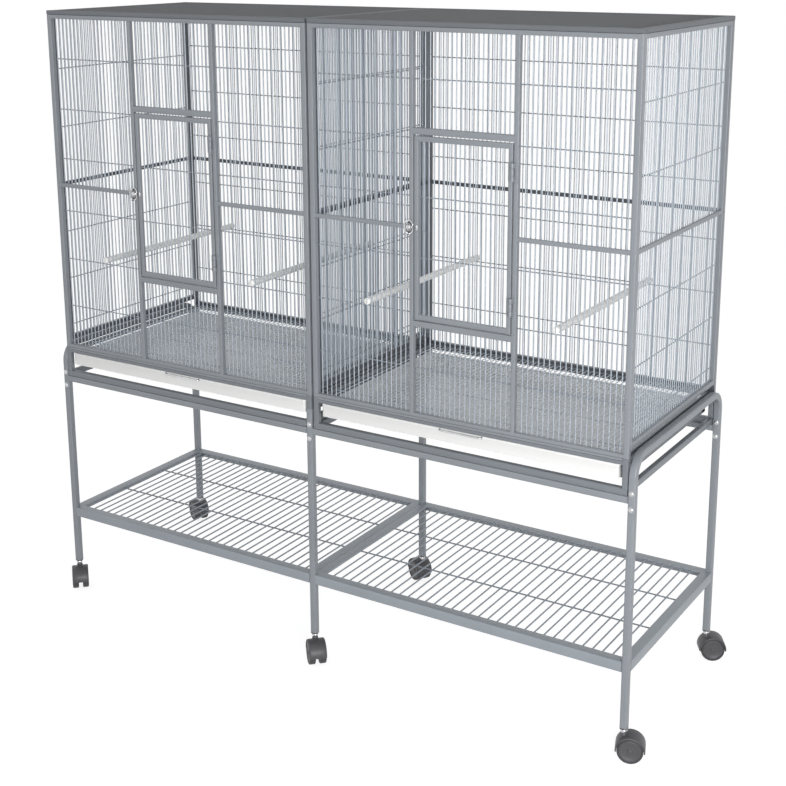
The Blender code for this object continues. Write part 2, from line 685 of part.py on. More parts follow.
def base_frame(side, cage):
    """The ledge that carries the cage and its grate, the tray's runners and the bottom rails.

    The left cage's base ends at the middle legs, which stand under that cage's right posts.
    """
    over_leg = side == "left"
    right = -CAGE_SPACING / 2 - LEG_WIDTH - CONTACT_GAP + CAGE_CENTRE if over_leg else HALF_WIDTH
    bottom = rectangle(-HALF_WIDTH, -HALF_DEPTH, right, HALF_DEPTH)
    inner = HALF_DEPTH - LEG_WIDTH
    opening = rectangle(-HALF_WIDTH + BASE_RAIL_WIDTH, -inner, right - BASE_RAIL_WIDTH, inner)
    name = side + "_base_frame"
    frame = piece(name, outline_mesh(name, "flat", [bottom, opening], BASE_BOTTOM, BASE_RAIL_TOP))
    half_x, half_y = HALF_WIDTH - LEDGE_WIDTH, HALF_DEPTH - POST_WIDTH
    ledge_opening = rectangle(-half_x, -half_y, half_x, half_y)
    ledge = rectangle(-HALF_WIDTH, -HALF_DEPTH, HALF_WIDTH, HALF_DEPTH)
    loops = [ledge, ledge_opening]
    ledge_mesh = outline_mesh(name + "_ledge", "flat", loops, LEDGE_BOTTOM, LEDGE_TOP)
    stands = bmesh.new()
    stands.from_mesh(ledge_mesh)
    bpy.data.meshes.remove(ledge_mesh)
    for x in (-1, 1):
        foot = MIDDLE_LEG_TOP + CONTACT_GAP if over_leg and x > 0 else BASE_RAIL_TOP - TUBE_BITE
        for y in (-1, 1):
            across = sorted((x * POST_FACE, x * HALF_WIDTH))
            along = sorted((y * (HALF_DEPTH - POST_WIDTH), y * HALF_DEPTH))
            low = (across[0], along[0], foot)
            add_box(stands, low, (across[1], along[1], WALL_BOTTOM - CONTACT_GAP))
        add_runner(stands, x)
    weld(frame, stands, self_crossing=True, parent=cage)
    return finish(frame, POWDER_GREY, parent=cage)


def add_runner(shape, side):
    """An angle under one edge of the tray, hung from the ledge at both ends."""
    web = TRAY_WIDTH / 2 + SLIDE_GAP
    reach = HALF_DEPTH - RUNNER_SETBACK - (LEG_WIDTH - POST_WIDTH) - POST_WIDTH
    lip_top = TRAY_BOTTOM - CONTACT_GAP
    lip_bottom = lip_top - RUNNER_THICKNESS
    across = sorted((side * web, side * (web + RUNNER_THICKNESS)))
    add_box(shape, (across[0], -reach, lip_bottom), (across[1], reach, lip_bottom + RUNNER_HEIGHT))
    lip = sorted((side * (web - RUNNER_LIP), side * (web + RUNNER_THICKNESS / 2)))
    add_box(shape, (lip[0], -reach, lip_bottom), (lip[1], reach, lip_top))
    for end in (-1, 1):
        along = sorted((end * reach, end * (reach - HANGER_LENGTH)))
        high = LEDGE_BOTTOM + TUBE_BITE
        add_box(shape, (across[0], along[0], lip_bottom + TUBE_BITE), (across[1], along[1], high))


# The stand


def add_bolt(shape, x, y, z, outward):
    """A bolt head on a leg, on its front or its back."""
    add_rod(
        shape,
        (x, y - outward * TUBE_BITE, z),
        (x, y + outward * BOLT_HEAD_HEIGHT, z),
        BOLT_HEAD_RADIUS,
        ROUND_SIDES // 2,
    )


def leg(name, x, y, top, bolts):
    shape = bmesh.new()
    half = LEG_WIDTH / 2
    add_box(shape, (x - half, y - half, LEG_BOTTOM), (x + half, y + half, top))
    obj = piece(name, mesh_from(name, shape))
    socket = bmesh.new()
    depth = LEG_BOTTOM + STEM_LENGTH + CONTACT_GAP
    add_rod(socket, (x, y, LEG_BOTTOM - STEM_LENGTH), (x, y, depth), STEM_RADIUS + PIN_GAP, STEM_SIDES)
    cut(obj, socket)
    if bolts:
        heads = bmesh.new()
        outward = math.copysign(1, y)
        for z in bolts:
            add_bolt(heads, x, y + outward * half, z, outward)
        weld(obj, heads)
    return finish(obj, POWDER_GREY, origin=(x, y, LEG_BOTTOM))


def hoop(name, x):
    """An inverted U over one end of the stand, bent with round shoulders from square tube."""
    half = LEG_WIDTH / 2
    outer = HOOP_BEND + half
    inner = HOOP_BEND - half
    span = LEG_ROW - HOOP_BEND
    crown = HOOP_TOP - half - HOOP_BEND
    outline = [(LEG_ROW + half, HOOP_FOOT)]
    outline += arc(span, crown, outer, 0, 90, HOOP_BEND_STEPS)
    outline += arc(-span, crown, outer, 90, 180, HOOP_BEND_STEPS)
    outline += [(-LEG_ROW - half, HOOP_FOOT), (-LEG_ROW + half, HOOP_FOOT)]
    outline += arc(-span, crown, inner, 180, 90, HOOP_BEND_STEPS)
    outline += arc(span, crown, inner, 90, 0, HOOP_BEND_STEPS)
    outline += [(LEG_ROW - half, HOOP_FOOT)]
    obj = piece(name, outline_mesh(name, "side", [outline], x - half, x + half))
    heads = bmesh.new()
    for outward in (-1, 1):
        for z in (HOOP_FOOT + LOWER_BOLT, BASE_BOTTOM + LEG_WIDTH / 2):
            add_bolt(heads, x, outward * HALF_DEPTH, z, outward)
    weld(obj, heads)
    return finish(obj, POWDER_GREY)


def stand_rail(name, x0, x1, y):
    shape = bmesh.new()
    half = LEG_WIDTH / 2
    low = (x0 + CONTACT_GAP, y - half, STAND_RAIL_TOP - LEG_WIDTH)
    add_box(shape, low, (x1 - CONTACT_GAP, y + half, STAND_RAIL_TOP))
    return finish(piece(name, mesh_from(name, shape)), POWDER_GREY)


def shelf(name, x0, x1, notch0, notch1):
    """An angle frame between the legs, with wires across it; the notches go round the legs."""
    under = SHELF_TOP - SHELF_FLANGE_THICKNESS
    foot = SHELF_TOP - SHELF_SKIRT
    below = foot - SHELF_SKIRT
    flange = (x0 + SHELF_FLANGE, -HALF_DEPTH + SHELF_FLANGE, x1 - SHELF_FLANGE, HALF_DEPTH - SHELF_FLANGE)
    outline = rectangle(x0, -HALF_DEPTH, x1, HALF_DEPTH)
    obj = piece(name, outline_mesh(name, "flat", [outline, rectangle(*flange)], foot, SHELF_TOP))
    notch = HALF_DEPTH - LEG_WIDTH - CONTACT_GAP
    corners = bmesh.new()
    for y in (-1, 1):
        along = sorted((y * notch, y * CAGE_DEPTH))
        above = SHELF_TOP + SHELF_SKIRT
        add_box(corners, (x0 - SHELF_SKIRT, along[0], below), (x0 + notch0, along[1], above))
        add_box(corners, (x1 - notch1, along[0], below), (x1 + SHELF_SKIRT, along[1], above))
    cut(obj, corners)
    hollow = bmesh.new()
    skin = SHELF_SKIRT_THICKNESS
    narrow = notch - skin
    add_box(hollow, (x0 + skin, -narrow, below), (x1 - skin, narrow, under))
    low = (x0 + notch0 + skin, -HALF_DEPTH + skin, below + TUBE_BITE)
    add_box(hollow, low, (x1 - notch1 - skin, HALF_DEPTH - skin, under))
    cut(obj, hollow, self_crossing=True)
    wires = bmesh.new()
    middle = (under + SHELF_TOP) / 2
    middle_x = (x0 + x1) / 2
    width = flange[2] - flange[0]
    for offset in grid_between(-width / 2, width / 2, SHELF_PITCH):
        start = (middle_x + offset, flange[1] - WIRE_BITE, middle)
        end = (middle_x + offset, flange[3] + WIRE_BITE, middle)
        add_rod(wires, start, end, SHELF_WIRE_RADIUS, WIRE_SIDES)
    cross_z = under - CONTACT_GAP - SHELF_WIRE_RADIUS
    for index in range(SHELF_CROSS_WIRES):
        y = flange[1] + (flange[3] - flange[1]) * (index + 1) / (SHELF_CROSS_WIRES + 1)
        start = (x0 + SHELF_SKIRT_THICKNESS / 2, y, cross_z)
        end = (x1 - SHELF_SKIRT_THICKNESS / 2, y, cross_z)
        add_rod(wires, start, end, SHELF_WIRE_RADIUS, WIRE_SIDES)
    weld(obj, wires)
    return finish(obj, POWDER_GREY)


# Casters


def caster_fork(name, x, y, turn):
    """A hooded body that swivels on its stem and carries the axle behind the stem."""
    axle_z = WHEEL_RADIUS
    half_web = WEB_THICKNESS / 2
    inner = WHEEL_RADIUS + HOOD_GAP
    outer = inner + HOOD_THICKNESS
    low_angle, high_angle = 90 - HOOD_SPAN, 90 + HOOD_SPAN
    outline = arc(CASTER_TRAIL, axle_z, outer, low_angle, high_angle, 2 * HOOD_STEPS)
    bore_radius = AXLE_RADIUS + PIN_GAP
    bore = arc(CASTER_TRAIL, axle_z, bore_radius, 0, FULL_TURN - FULL_TURN / STEM_SIDES, STEM_SIDES - 1)
    fork = piece(name, outline_mesh(name, "front", [outline, bore], -half_web, half_web))
    fender = arc(CASTER_TRAIL, axle_z, outer - CONTACT_GAP, low_angle, high_angle, HOOD_STEPS)
    fender += arc(CASTER_TRAIL, axle_z, inner, high_angle, low_angle, HOOD_STEPS)
    reach = half_web + WEB_CLEARANCE + WHEEL_WIDTH
    fender_mesh = outline_mesh(name + "_fender", "front", [fender], -reach, reach)
    fittings = bmesh.new()
    fittings.from_mesh(fender_mesh)
    bpy.data.meshes.remove(fender_mesh)
    weld(fork, fittings, parent=fork)
    stem = bmesh.new()
    seat = CASTER_HEIGHT - CONTACT_GAP
    add_rod(stem, (0, 0, axle_z), (0, 0, CASTER_HEIGHT + STEM_LENGTH), STEM_RADIUS, STEM_SIDES)
    add_rod(stem, (0, 0, seat - COLLAR_HEIGHT), (0, 0, seat), COLLAR_RADIUS, STEM_SIDES)
    weld(fork, stem, self_crossing=True, parent=fork)
    finish(fork, CASTER_GREY, 0.5, 0)
    fork.location = (x, y, 0)
    fork.rotation_euler = (0, 0, math.radians(turn))
    return fork


def caster_wheels(name, fork):
    """Two wheels fixed to one axle, turned about it as one profile."""
    inner = WEB_THICKNESS / 2 + WEB_CLEARANCE
    outer = inner + WHEEL_WIDTH
    profile = [(0, -outer), (WHEEL_RADIUS, -outer), (WHEEL_RADIUS, -inner), (AXLE_RADIUS, -inner)]
    profile += [(radius, -along) for radius, along in reversed(profile)]
    shape = bmesh.new()
    points = [shape.verts.new((radius, 0, -along)) for radius, along in profile]
    for first, second in zip(points, points[1:]):
        shape.edges.new((first, second))
    obj = piece(name, mesh_from(name, shape))
    screw = obj.modifiers.new("turned", "SCREW")
    screw.steps = WHEEL_SIDES
    screw.render_steps = WHEEL_SIDES
    screw.use_merge_vertices = True
    screw.merge_threshold = MM / 100
    finish(obj, CASTER_GREY, 0.5, 0)
    obj.parent = fork
    obj.location = (CASTER_TRAIL, 0, WHEEL_RADIUS)
    obj.rotation_euler = (math.radians(90), 0, 0)
    return obj


def build_cage(side):
    cage = bpy.data.objects.new(side + "_cage", None)
    cage.location = (-CAGE_CENTRE if side == "left" else CAGE_CENTRE, 0, 0)
    PARTS.objects.link(cage)
    front_panel(side, cage)
    back_panel(side, cage)
    for wall in ("left", "right"):
        side_panel(side, wall, cage)
    roof_panel(side, cage)
    door(side, cage)
    for which in ("upper", "lower"):
        door_hinge(side, which, cage)
    door_latch(side, cage)
    floor_grate(side, cage)
    tray(side, cage)
    perch(side, "left", -LEFT_PERCH_OFFSET, cage)
    perch(side, "right", RIGHT_PERCH_OFFSET, cage)
    base_frame(side, cage)


def build_stand():
    places = {"left": -OUTER_LEG, "middle": MIDDLE_LEG, "right": OUTER_LEG}
    rows = {"front": -LEG_ROW, "back": LEG_ROW}
    middle_bolts = (STAND_RAIL_TOP - LEG_WIDTH - LOWER_BOLT, BASE_BOTTOM + LEG_WIDTH / 2)
    for row, y in rows.items():
        for column, x in places.items():
            middle = column == "middle"
            top = MIDDLE_LEG_TOP if middle else OUTER_LEG_TOP
            corner = f"{row}_{column}"
            leg(corner + "_leg", x, y, top, middle_bolts if middle else ())
            fork = caster_fork(corner + "_caster_fork", x, y, CASTER_TURNS[corner])
            caster_wheels(corner + "_caster_wheels", fork)
        half = LEG_WIDTH / 2
        stand_rail(row + "_left_stand_rail", -OUTER_LEG + half, MIDDLE_LEG - half, y)
        stand_rail(row + "_right_stand_rail", MIDDLE_LEG + half, OUTER_LEG - half, y)
    hoop("left_hoop", -OUTER_LEG)
    hoop("right_hoop", OUTER_LEG)
    outer = OUTER_LEG + LEG_WIDTH / 2
    whole, part = LEG_WIDTH + CONTACT_GAP, LEG_WIDTH / 2 + CONTACT_GAP / 2
    shelf("left_shelf", -outer, MIDDLE_LEG - CONTACT_GAP / 2, whole, part)
    shelf("right_shelf", MIDDLE_LEG + CONTACT_GAP / 2, outer, part, whole)


for cage_side in ("left", "right"):
    build_cage(cage_side)
build_stand()
for part_object in PARTS.objects:
    if part_object.type == "MESH" and "caster" in part_object.name:
        part_object.data.shade_smooth()
        part_object.data.set_sharp_from_angle(angle=math.radians(35))
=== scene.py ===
import math

import bmesh
import bpy
from mathutils import Matrix, Vector


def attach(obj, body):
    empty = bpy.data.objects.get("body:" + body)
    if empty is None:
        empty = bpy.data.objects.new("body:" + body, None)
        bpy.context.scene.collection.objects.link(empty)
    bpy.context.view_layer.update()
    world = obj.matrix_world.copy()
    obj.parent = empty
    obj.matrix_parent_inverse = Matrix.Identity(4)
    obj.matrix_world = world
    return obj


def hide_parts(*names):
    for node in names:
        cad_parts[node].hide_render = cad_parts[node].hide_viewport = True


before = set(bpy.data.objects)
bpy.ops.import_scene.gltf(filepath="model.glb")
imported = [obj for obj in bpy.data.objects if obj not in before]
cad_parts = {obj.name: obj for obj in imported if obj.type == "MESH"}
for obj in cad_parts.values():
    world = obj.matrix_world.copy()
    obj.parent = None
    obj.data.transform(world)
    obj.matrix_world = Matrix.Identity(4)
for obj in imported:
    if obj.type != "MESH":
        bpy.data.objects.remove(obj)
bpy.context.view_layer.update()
MM = 0.001
ROOT = "cages_and_stand"

# Fits and offsets
GAP = 0.3 * MM  # between pieces that touch
PIN_GAP = 0.4 * MM  # round a pin or beside a moving plate
SHY = 0.15 * MM  # keeps a flat rail's faces out of the planes of what it meets
STEP = 0.1 * MM  # keeps the faces of two joined tubes apart
HALF_STEP = STEP / 2
TUCK = MM  # how far a piece of metal reaches into the one that it is welded to
JAMB_BITE = 0.4 * MM  # how far the door's uprights reach into the wall's rails
BITE = 2 * MM  # how far a wire reaches into its frame
WELD = 0.002 * MM  # points closer than this become one
SHARP = math.radians(50)
SHADE_FACING = 0.6  # cosine beyond which a face counts as facing one of the given ways, and so gets the darker coat of painted shade

# Sizes repeated from the CAD model
HALF_W = 397 * MM
HALF_D = 266.5 * MM
CAGE_DEPTH = 2 * HALF_D
CAGE_X = {"left": -400 * MM, "right": 400 * MM}
POST = 12.7 * MM
TOP_RAIL = 10 * MM
BOTTOM_RAIL = 8.5 * MM
SIDE_FOOT = 18 * MM  # from the front wall's foot up to the side wall's
SIDE_STILE = 6 * MM
PITCH = 12.7 * MM
WIRE = 1.4 * MM  # radius of a visible wire of the walls, roofs and doors
CAD_WIRE = 1.3 * MM  # radius of a wire in the solids, and of the grates' visible wires
COLUMN_DEPTH = 8.1 * MM  # depths of the upright and the cross wires in a wall
ROW_DEPTH = 11 * MM
ROW_SHY = 0.3 * MM  # brings the visible cross wires against the upright ones
WALL_LOW = 691.9 * MM
WALL_HIGH = WALL_LOW + 867 * MM
MID = WALL_LOW + 435 * MM
MID_LOW = MID - 5 * MM
MID_HIGH = MID + 5 * MM
MID_NEAR = 0.5 * MM  # depths of the mid rail's faces in the wall
MID_FAR = 6.5 * MM
LEDGE_LOW = 677.8 * MM
LEDGE_HIGH = 685.8 * MM
BASE_LOW = 610.3 * MM
BASE_TOP = 626.3 * MM
TRAY_LOW = 644.3 * MM
TRAY_HIGH = 676.3 * MM
TRAY_FRONT = -HALF_D + 2 * MM
TRAY_HALF = 376 * MM
TRAY_LENGTH = 500 * MM
PULL_HALF = 53 * MM
PULL_DROP = 3 * MM
PULL_REACH = 6 * MM
RUNNER = 377.5 * MM  # from the cage's middle to a runner's inner face
RUNNER_PLATE = 2 * MM
RUNNER_HEIGHT = 22 * MM
RUNNER_LIP = 12 * MM
HANGER = 20 * MM
LEDGE_WIDTH = 20 * MM
BASE_SIDE = 12.4 * MM  # width of the base frame's side rails
GRATE_LOW = 686.1 * MM
GRATE_HIGH = 691.6 * MM
GRATE_BACK = HALF_D - 5 * MM
GRATE_RIM = 6 * MM
ROOF_LOW = WALL_HIGH + GAP
ROOF_HIGH = ROOF_LOW + 10 * MM
PERCH_R = 7.85 * MM
SILL = WALL_LOW + 224 * MM
HEAD = SILL + 415 * MM
DOORWAY_RAIL = 14 * MM
JAMB = 122 * MM
JAMB_WIDTH = 10 * MM
DOOR_HALF = 119 * MM
DOOR_DEPTH = 8 * MM
DOOR_GAP = 3 * MM  # above and below the door
DOOR_STILE = 10 * MM
DOOR_RAIL = 12 * MM
HINGE_X = 120.5 * MM
HINGE_Y = -270.8 * MM
HINGE_INSET = 63 * MM  # from the doorway's ends to a hinge's middle
LEAF = 1.5 * MM
LEAF_FRONT = -HALF_D - GAP - LEAF
LEAF_BACK = -HALF_D - GAP
LEAF_HALF = 20 * MM
LEAF_INNER = 4.3 * MM  # a leaf's edges, measured from the pin
LEAF_OUTER = 11 * MM
KNUCKLE_R = 4 * MM
KNUCKLE_HALF = 8 * MM
LATCH_X = -132 * MM
LATCH_DEPTH = 3 * MM
KEEPER_X = LATCH_X + 18.5 * MM
KEEPER_HALF = 6 * MM
LEG = 16 * MM
LEG_Y = 258.5 * MM
LEG_X = {"left": -807 * MM, "middle": -11 * MM, "right": 807 * MM}
LEG_LOW = 73 * MM
HOOP_HIGH = 701.8 * MM
HOOP_FOOT = 571.8 * MM
LEG_TOP = HOOP_FOOT - GAP
MIDDLE_TOP = BASE_TOP + 31 * MM
FOOT_HEIGHT = 3 * MM
RAIL_TOP = 610 * MM
RAIL_BOTTOM = RAIL_TOP - LEG
SHELF_TOP = 232 * MM
SHELF_PLATE = 4 * MM
SHELF_FLANGE = 24 * MM
SHELF_SKIRT = 2 * MM
SHELF_PITCH = 23.6 * MM
SHELF_WIRE = 1.9 * MM


# Mesh building

def frame_of(axis):
    """Two directions across an axis, so that (first, second, axis) is right handed."""
    return {0: (Vector((0, 1, 0)), Vector((0, 0, 1)), Vector((1, 0, 0))),
            1: (Vector((0, 0, 1)), Vector((1, 0, 0)), Vector((0, 1, 0))),
            2: (Vector((1, 0, 0)), Vector((0, 1, 0)), Vector((0, 0, 1)))}[axis]


def skin(bm, rings, closed=False, caps=True, mat=0):
    """Joins rings of points with faces, and closes the ends."""
    loops = [[bm.verts.new(p) for p in ring] for ring in rings]
    count = len(loops[0])
    pairs = list(zip(loops, loops[1:]))
    if closed:
        pairs.append((loops[-1], loops[0]))
    for a, b in pairs:
        for i in range(count):
            j = (i + 1) % count
            face = bm.faces.new((a[i], a[j], b[j], b[i]))
            face.material_index, face.smooth = mat, True
    if caps and not closed:
        for loop in (list(reversed(loops[0])), loops[-1]):
            face = bm.faces.new(loop)
            face.material_index, face.smooth = mat, False


def circle(radius, sides=12):
    """Points round a circle, counter-clockwise."""
    turns = [2 * math.pi * i / sides for i in range(sides)]
    return [(radius * math.cos(a), radius * math.sin(a)) for a in turns]


def rounded(half_u, half_v, radius, steps=3):
    """Points round a rectangle with rounded corners, counter-clockwise."""
    points = []
    for cu, cv, start in ((1, 1, 0), (-1, 1, 90), (-1, -1, 180), (1, -1, 270)):
        for step in range(steps + 1):
            a = math.radians(start + 90 * step / steps)
            points.append((cu * (half_u - radius) + radius * math.cos(a),
                           cv * (half_v - radius) + radius * math.sin(a)))
    return points


def bar(bm, low, high, radius=1.4 * MM, mat=0, axis=None, ends=0.0):
    """A tube between two corners, rounded along its length; ends is how far its end caps are drawn in."""
    low, high = Vector(low), Vector(high)
    size = high - low
    axis = max(range(3), key=lambda i: size[i]) if axis is None else axis
    u, v, w = frame_of(axis)
    middle = (low + high) / 2
    half_u, half_v, half_w = abs(size.dot(u)) / 2, abs(size.dot(v)) / 2, size.dot(w) / 2
    radius = min(radius, half_u * 0.98, half_v * 0.98)
    stations = [(-half_w, 0), (half_w, 0)]
    if ends:
        stations = [(-half_w, ends), (-half_w + ends, 0), (half_w - ends, 0), (half_w, ends)]
    rings = []
    for along, inset in stations:
        section = rounded(half_u - inset, half_v - inset, max(radius - inset, 0.2 * MM))
        rings.append([middle + u * a + v * b + w * along for a, b in section])
    skin(bm, rings, mat=mat)


def rod(bm, start, end, radius, sides=8, mat=0, dome=0.0):
    """A round wire or pin; dome draws its ends in as a rounded edge."""
    start, end = Vector(start), Vector(end)
    axis = (end - start).normalized()
    u = axis.orthogonal().normalized()
    v = axis.cross(u)
    stations = [(start, radius), (end, radius)]
    if dome:
        soft = radius - dome * 0.3
        stations = [(start, radius - dome), (start + axis * dome * 0.3, soft), (start + axis * dome, radius),
                    (end - axis * dome, radius), (end - axis * dome * 0.3, soft), (end, radius - dome)]
    ring = circle(1, sides)
    skin(bm, [[p + (u * a + v * b) * r for a, b in ring] for p, r in stations], mat=mat)


def sweep(bm, path, section, normal, mat=0):
    """Carries a section along a path in one plane; the section's first axis is the plane's normal."""
    normal = Vector(normal).normalized()
    path = [Vector(p) for p in path]
    rings = []
    for i, point in enumerate(path):
        into = point - path[max(i - 1, 0)]
        out = path[min(i + 1, len(path) - 1)] - point
        into = into.normalized() if into.length else out.normalized()
        out = out.normalized() if out.length else into
        along = (into + out).normalized()
        stretch = 1 / max(0.3, math.sqrt((1 + into.dot(out)) / 2))
        side = along.cross(normal)
        rings.append([point + normal * a + side * (b * stretch) for a, b in reversed(section)])
    skin(bm, rings, mat=mat)


def bend(points, radius, steps=8):
    """Rounds the inner corners of a path."""
    points = [Vector(p) for p in points]
    path = [points[0]]
    for before, corner, after in zip(points, points[1:], points[2:]):
        a, b = (before - corner).normalized(), (after - corner).normalized()
        turn = math.pi - a.angle(b)
        reach = radius * math.tan(turn / 2)
        centre = corner + (a + b).normalized() * (radius / math.cos(turn / 2))
        first, last = corner + a * reach - centre, corner + b * reach - centre
        for step in range(steps + 1):
            path.append(centre + first.slerp(last, step / steps).normalized() * radius)
    path.append(points[-1])
    return path


def lathe(bm, profile, matrix, steps=32, mat=0, start=0.0, end=360.0):
    """Turns (radius, along) points about the matrix's Z axis."""
    full = abs(end - start - 360) < 1e-6
    rings = []
    for i in range(steps if full else steps + 1):
        a = math.radians(start + (end - start) * i / steps)
        rings.append([matrix @ Vector((r * math.cos(a), r * math.sin(a), h)) for r, h in profile])
    skin(bm, rings, closed=full, caps=not full, mat=mat)


def lathe_solid(bm, profile, matrix, steps, mat=0):
    """Turns a profile that starts and ends on the axis, without doubled points there."""
    loops = []
    for r, h in profile[1:-1]:
        loops.append([bm.verts.new(matrix @ Vector((u, v, h))) for u, v in circle(r, steps)])
    for a, b in zip(loops, loops[1:]):
        for i in range(steps):
            j = (i + 1) % steps
            face = bm.faces.new((a[i], a[j], b[j], b[i]))
            face.material_index, face.smooth = mat, True
    for loop, h in ((loops[0], profile[0][1]), (loops[-1], profile[-1][1])):
        tip = bm.verts.new(matrix @ Vector((0, 0, h)))
        for i in range(steps):
            face = bm.faces.new((tip, loop[i], loop[(i + 1) % steps]))
            face.material_index, face.smooth = mat, True


def columns(low, high, pitch=PITCH):
    """Places 0.5, 1.5 and more steps from zero, both ways, that lie half a step or more inside two limits."""
    first = math.ceil((low + pitch / 2) / pitch - 0.5)
    last = math.floor((high - pitch / 2) / pitch - 0.5)
    return [(i + 0.5) * pitch for i in range(first, last + 1)]


def piece(name, bm, materials, body, *nodes, shaded_ways=None):
    """Makes the object for the nodes; tube faces that look the given ways get the last of the materials, a
    darker coat that paints shade on them.
    """
    bmesh.ops.remove_doubles(bm, verts=bm.verts, dist=WELD)
    bmesh.ops.recalc_face_normals(bm, faces=bm.faces)
    if shaded_ways is not None:
        bm.normal_update()
        for face in bm.faces:
            look = max(face.normal.dot(Vector(way)) for way in shaded_ways(face))
            if face.material_index == 0 and look > SHADE_FACING:
                face.material_index = len(materials) - 1
    mesh = bpy.data.meshes.new(name)
    bm.to_mesh(mesh)
    bm.free()
    obj = bpy.data.objects.new(name, mesh)
    bpy.context.scene.collection.objects.link(obj)
    for material in materials:
        mesh.materials.append(material)
    mesh.set_sharp_from_angle(angle=SHARP)
    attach(obj, body)
    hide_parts(*nodes)
    return obj


# Materials

def srgb(r, g, b):
    """A colour as it looks on a screen, in the linear numbers that the shaders take."""
    def channel(c):
        c /= 255
        return c / 12.92 if c <= 0.04045 else ((c + 0.055) / 1.055) ** 2.4
    return (channel(r), channel(g), channel(b), 1)


def noise(tree, place, scale, detail):
    """A noise texture at a place in the material's tree."""
    node = tree.nodes.new("ShaderNodeTexNoise")
    node.inputs["Scale"].default_value = scale
    node.inputs["Detail"].default_value = detail
    tree.links.new(place, node.inputs["Vector"])
    return node.outputs["Fac"]


def surface(name, colour, roughness, metallic=0.0, grain=900, bump=0.06, spread=0.05, stretch=(1, 1, 1),
            drift=7, rough_spread=0.06, coat=0.0):
    """A material whose colour and gloss drift a little and whose surface has a fine grain."""
    material = bpy.data.materials.new(name)
    material.use_nodes = True
    tree = material.node_tree
    shader = tree.nodes["Principled BSDF"]
    shader.inputs["Metallic"].default_value = metallic
    shader.inputs["Coat Weight"].default_value = coat
    shader.inputs["Coat Roughness"].default_value = 0.12
    coordinates = tree.nodes.new("ShaderNodeTexCoord")
    mapping = tree.nodes.new("ShaderNodeMapping")
    mapping.inputs["Scale"].default_value = stretch
    tree.links.new(coordinates.outputs["Object"], mapping.inputs["Vector"])
    place = mapping.outputs["Vector"]
    broad = noise(tree, place, drift, 4)
    tint = tree.nodes.new("ShaderNodeValToRGB")
    low = [c * (1 - spread) for c in colour[:3]]
    high = [min(1, c * (1 + spread)) for c in colour[:3]]
    for stop, position, shade in zip(tint.color_ramp.elements, (0.3, 0.7), (low, high)):
        stop.position = position
        stop.color = (*shade, 1)
    tree.links.new(broad, tint.inputs["Fac"])
    tree.links.new(tint.outputs["Color"], shader.inputs["Base Color"])
    rough = tree.nodes.new("ShaderNodeMapRange")
    rough.inputs["To Min"].default_value = max(0.02, roughness - rough_spread)
    rough.inputs["To Max"].default_value = min(1, roughness + rough_spread)
    tree.links.new(broad, rough.inputs["Value"])
    tree.links.new(rough.outputs["Result"], shader.inputs["Roughness"])
    relief = tree.nodes.new("ShaderNodeBump")
    relief.inputs["Strength"].default_value = bump
    relief.inputs["Distance"].default_value = 0.3 * MM
    tree.links.new(noise(tree, place, grain, 2), relief.inputs["Height"])
    tree.links.new(relief.outputs["Normal"], shader.inputs["Normal"])
    return material


POWDER = {"grain": 1400, "bump": 0.10}
SMOOTH_POWDER = {"roughness": 0.42, "metallic": 0.1, "coat": 0.1, **POWDER}
DULL_POWDER = {"roughness": 0.5, "metallic": 0.1, **POWDER}
DRAWN = {"grain": 1800, "bump": 0.05}

TUBE = surface("silver_grey_powder_coat", srgb(140, 145, 151), **SMOOTH_POWDER)
# Painted light: a lighter copy of the stand's silver-grey powder coat for the shelf, which is lit more
SHELF_LIGHT = surface("shelf_painted_light_coat", srgb(150, 157, 164), **SMOOTH_POWDER)
# Painted shade: a darker copy of the silver-grey powder coat for tube faces that look into the cage, where
# less light reaches
INNER_SHADE = surface("inner_faces_painted_shade", srgb(88, 91, 97), **DULL_POWDER)
WIRES = surface("silver_grey_wire", srgb(174, 182, 191), 0.36, 0.2, **DRAWN)
# Painted shade: a darker copy of the wire coat for level cross wires, whose seen sides face down into shade
CROSS_SHADE = surface("cross_wire_painted_shade", srgb(144, 151, 160), 0.42, 0.15, **DRAWN)
# Painted light: a lighter copy of the wire coat for the floor grate, standing for light on it inside the cage
MESH = surface("grate_wire_painted_light", srgb(207, 215, 223), 0.36, 0.25, **DRAWN)
# Painted shade: a darker copy of the powder coat for the roof's frame, which gets little light
ROOF_RAIL_SHADE = surface("roof_rail_painted_shade_coat", srgb(110, 114, 119), **DULL_POWDER)
# Painted shade: a darker copy of the powder coat for the base frame, whose rails lie in shade under the ledge
BASE_SHADE = surface("base_frame_painted_shade_coat", srgb(122, 127, 133), **SMOOTH_POWDER)
# Painted shade: a darker coat for the roof's wires and for the upper and lower faces of its frame, as little
# light falls from above
ROOF_SHADE = surface("roof_painted_shade_coat", srgb(105, 108, 111), 0.6, **POWDER)
ZINC = surface("bright_zinc", srgb(194, 195, 197), 0.24, 1.0, grain=1500, bump=0.05, rough_spread=0.08,
               stretch=(1, 1, 4))
ENAMEL = surface("white_tray_enamel", srgb(248, 248, 247), 0.30, grain=500, bump=0.04, spread=0.015, coat=0.3)
DOWEL = surface("painted_dowel", srgb(252, 252, 250), 0.5, grain=420, bump=0.09, spread=0.015,
                stretch=(6, 0.35, 6))
# Painted shade: a darker zinc for the floor of the latch plate's recess, where shade falls
LATCH_RECESS_SHADE = surface("latch_recess_painted_shade", srgb(118, 120, 123), 0.45, 0.8, grain=1500, bump=0.08)
HOUSING = surface("caster_plastic", srgb(76, 76, 79), 0.42, grain=1600, bump=0.14, spread=0.06)
TREAD = surface("caster_tread", srgb(64, 64, 67), 0.6, grain=700, bump=0.18, spread=0.08)
STEEL = surface("caster_steel", srgb(190, 190, 192), 0.22, 1.0, grain=1200, bump=0.04, stretch=(1, 1, 0.3))


# Wall panels

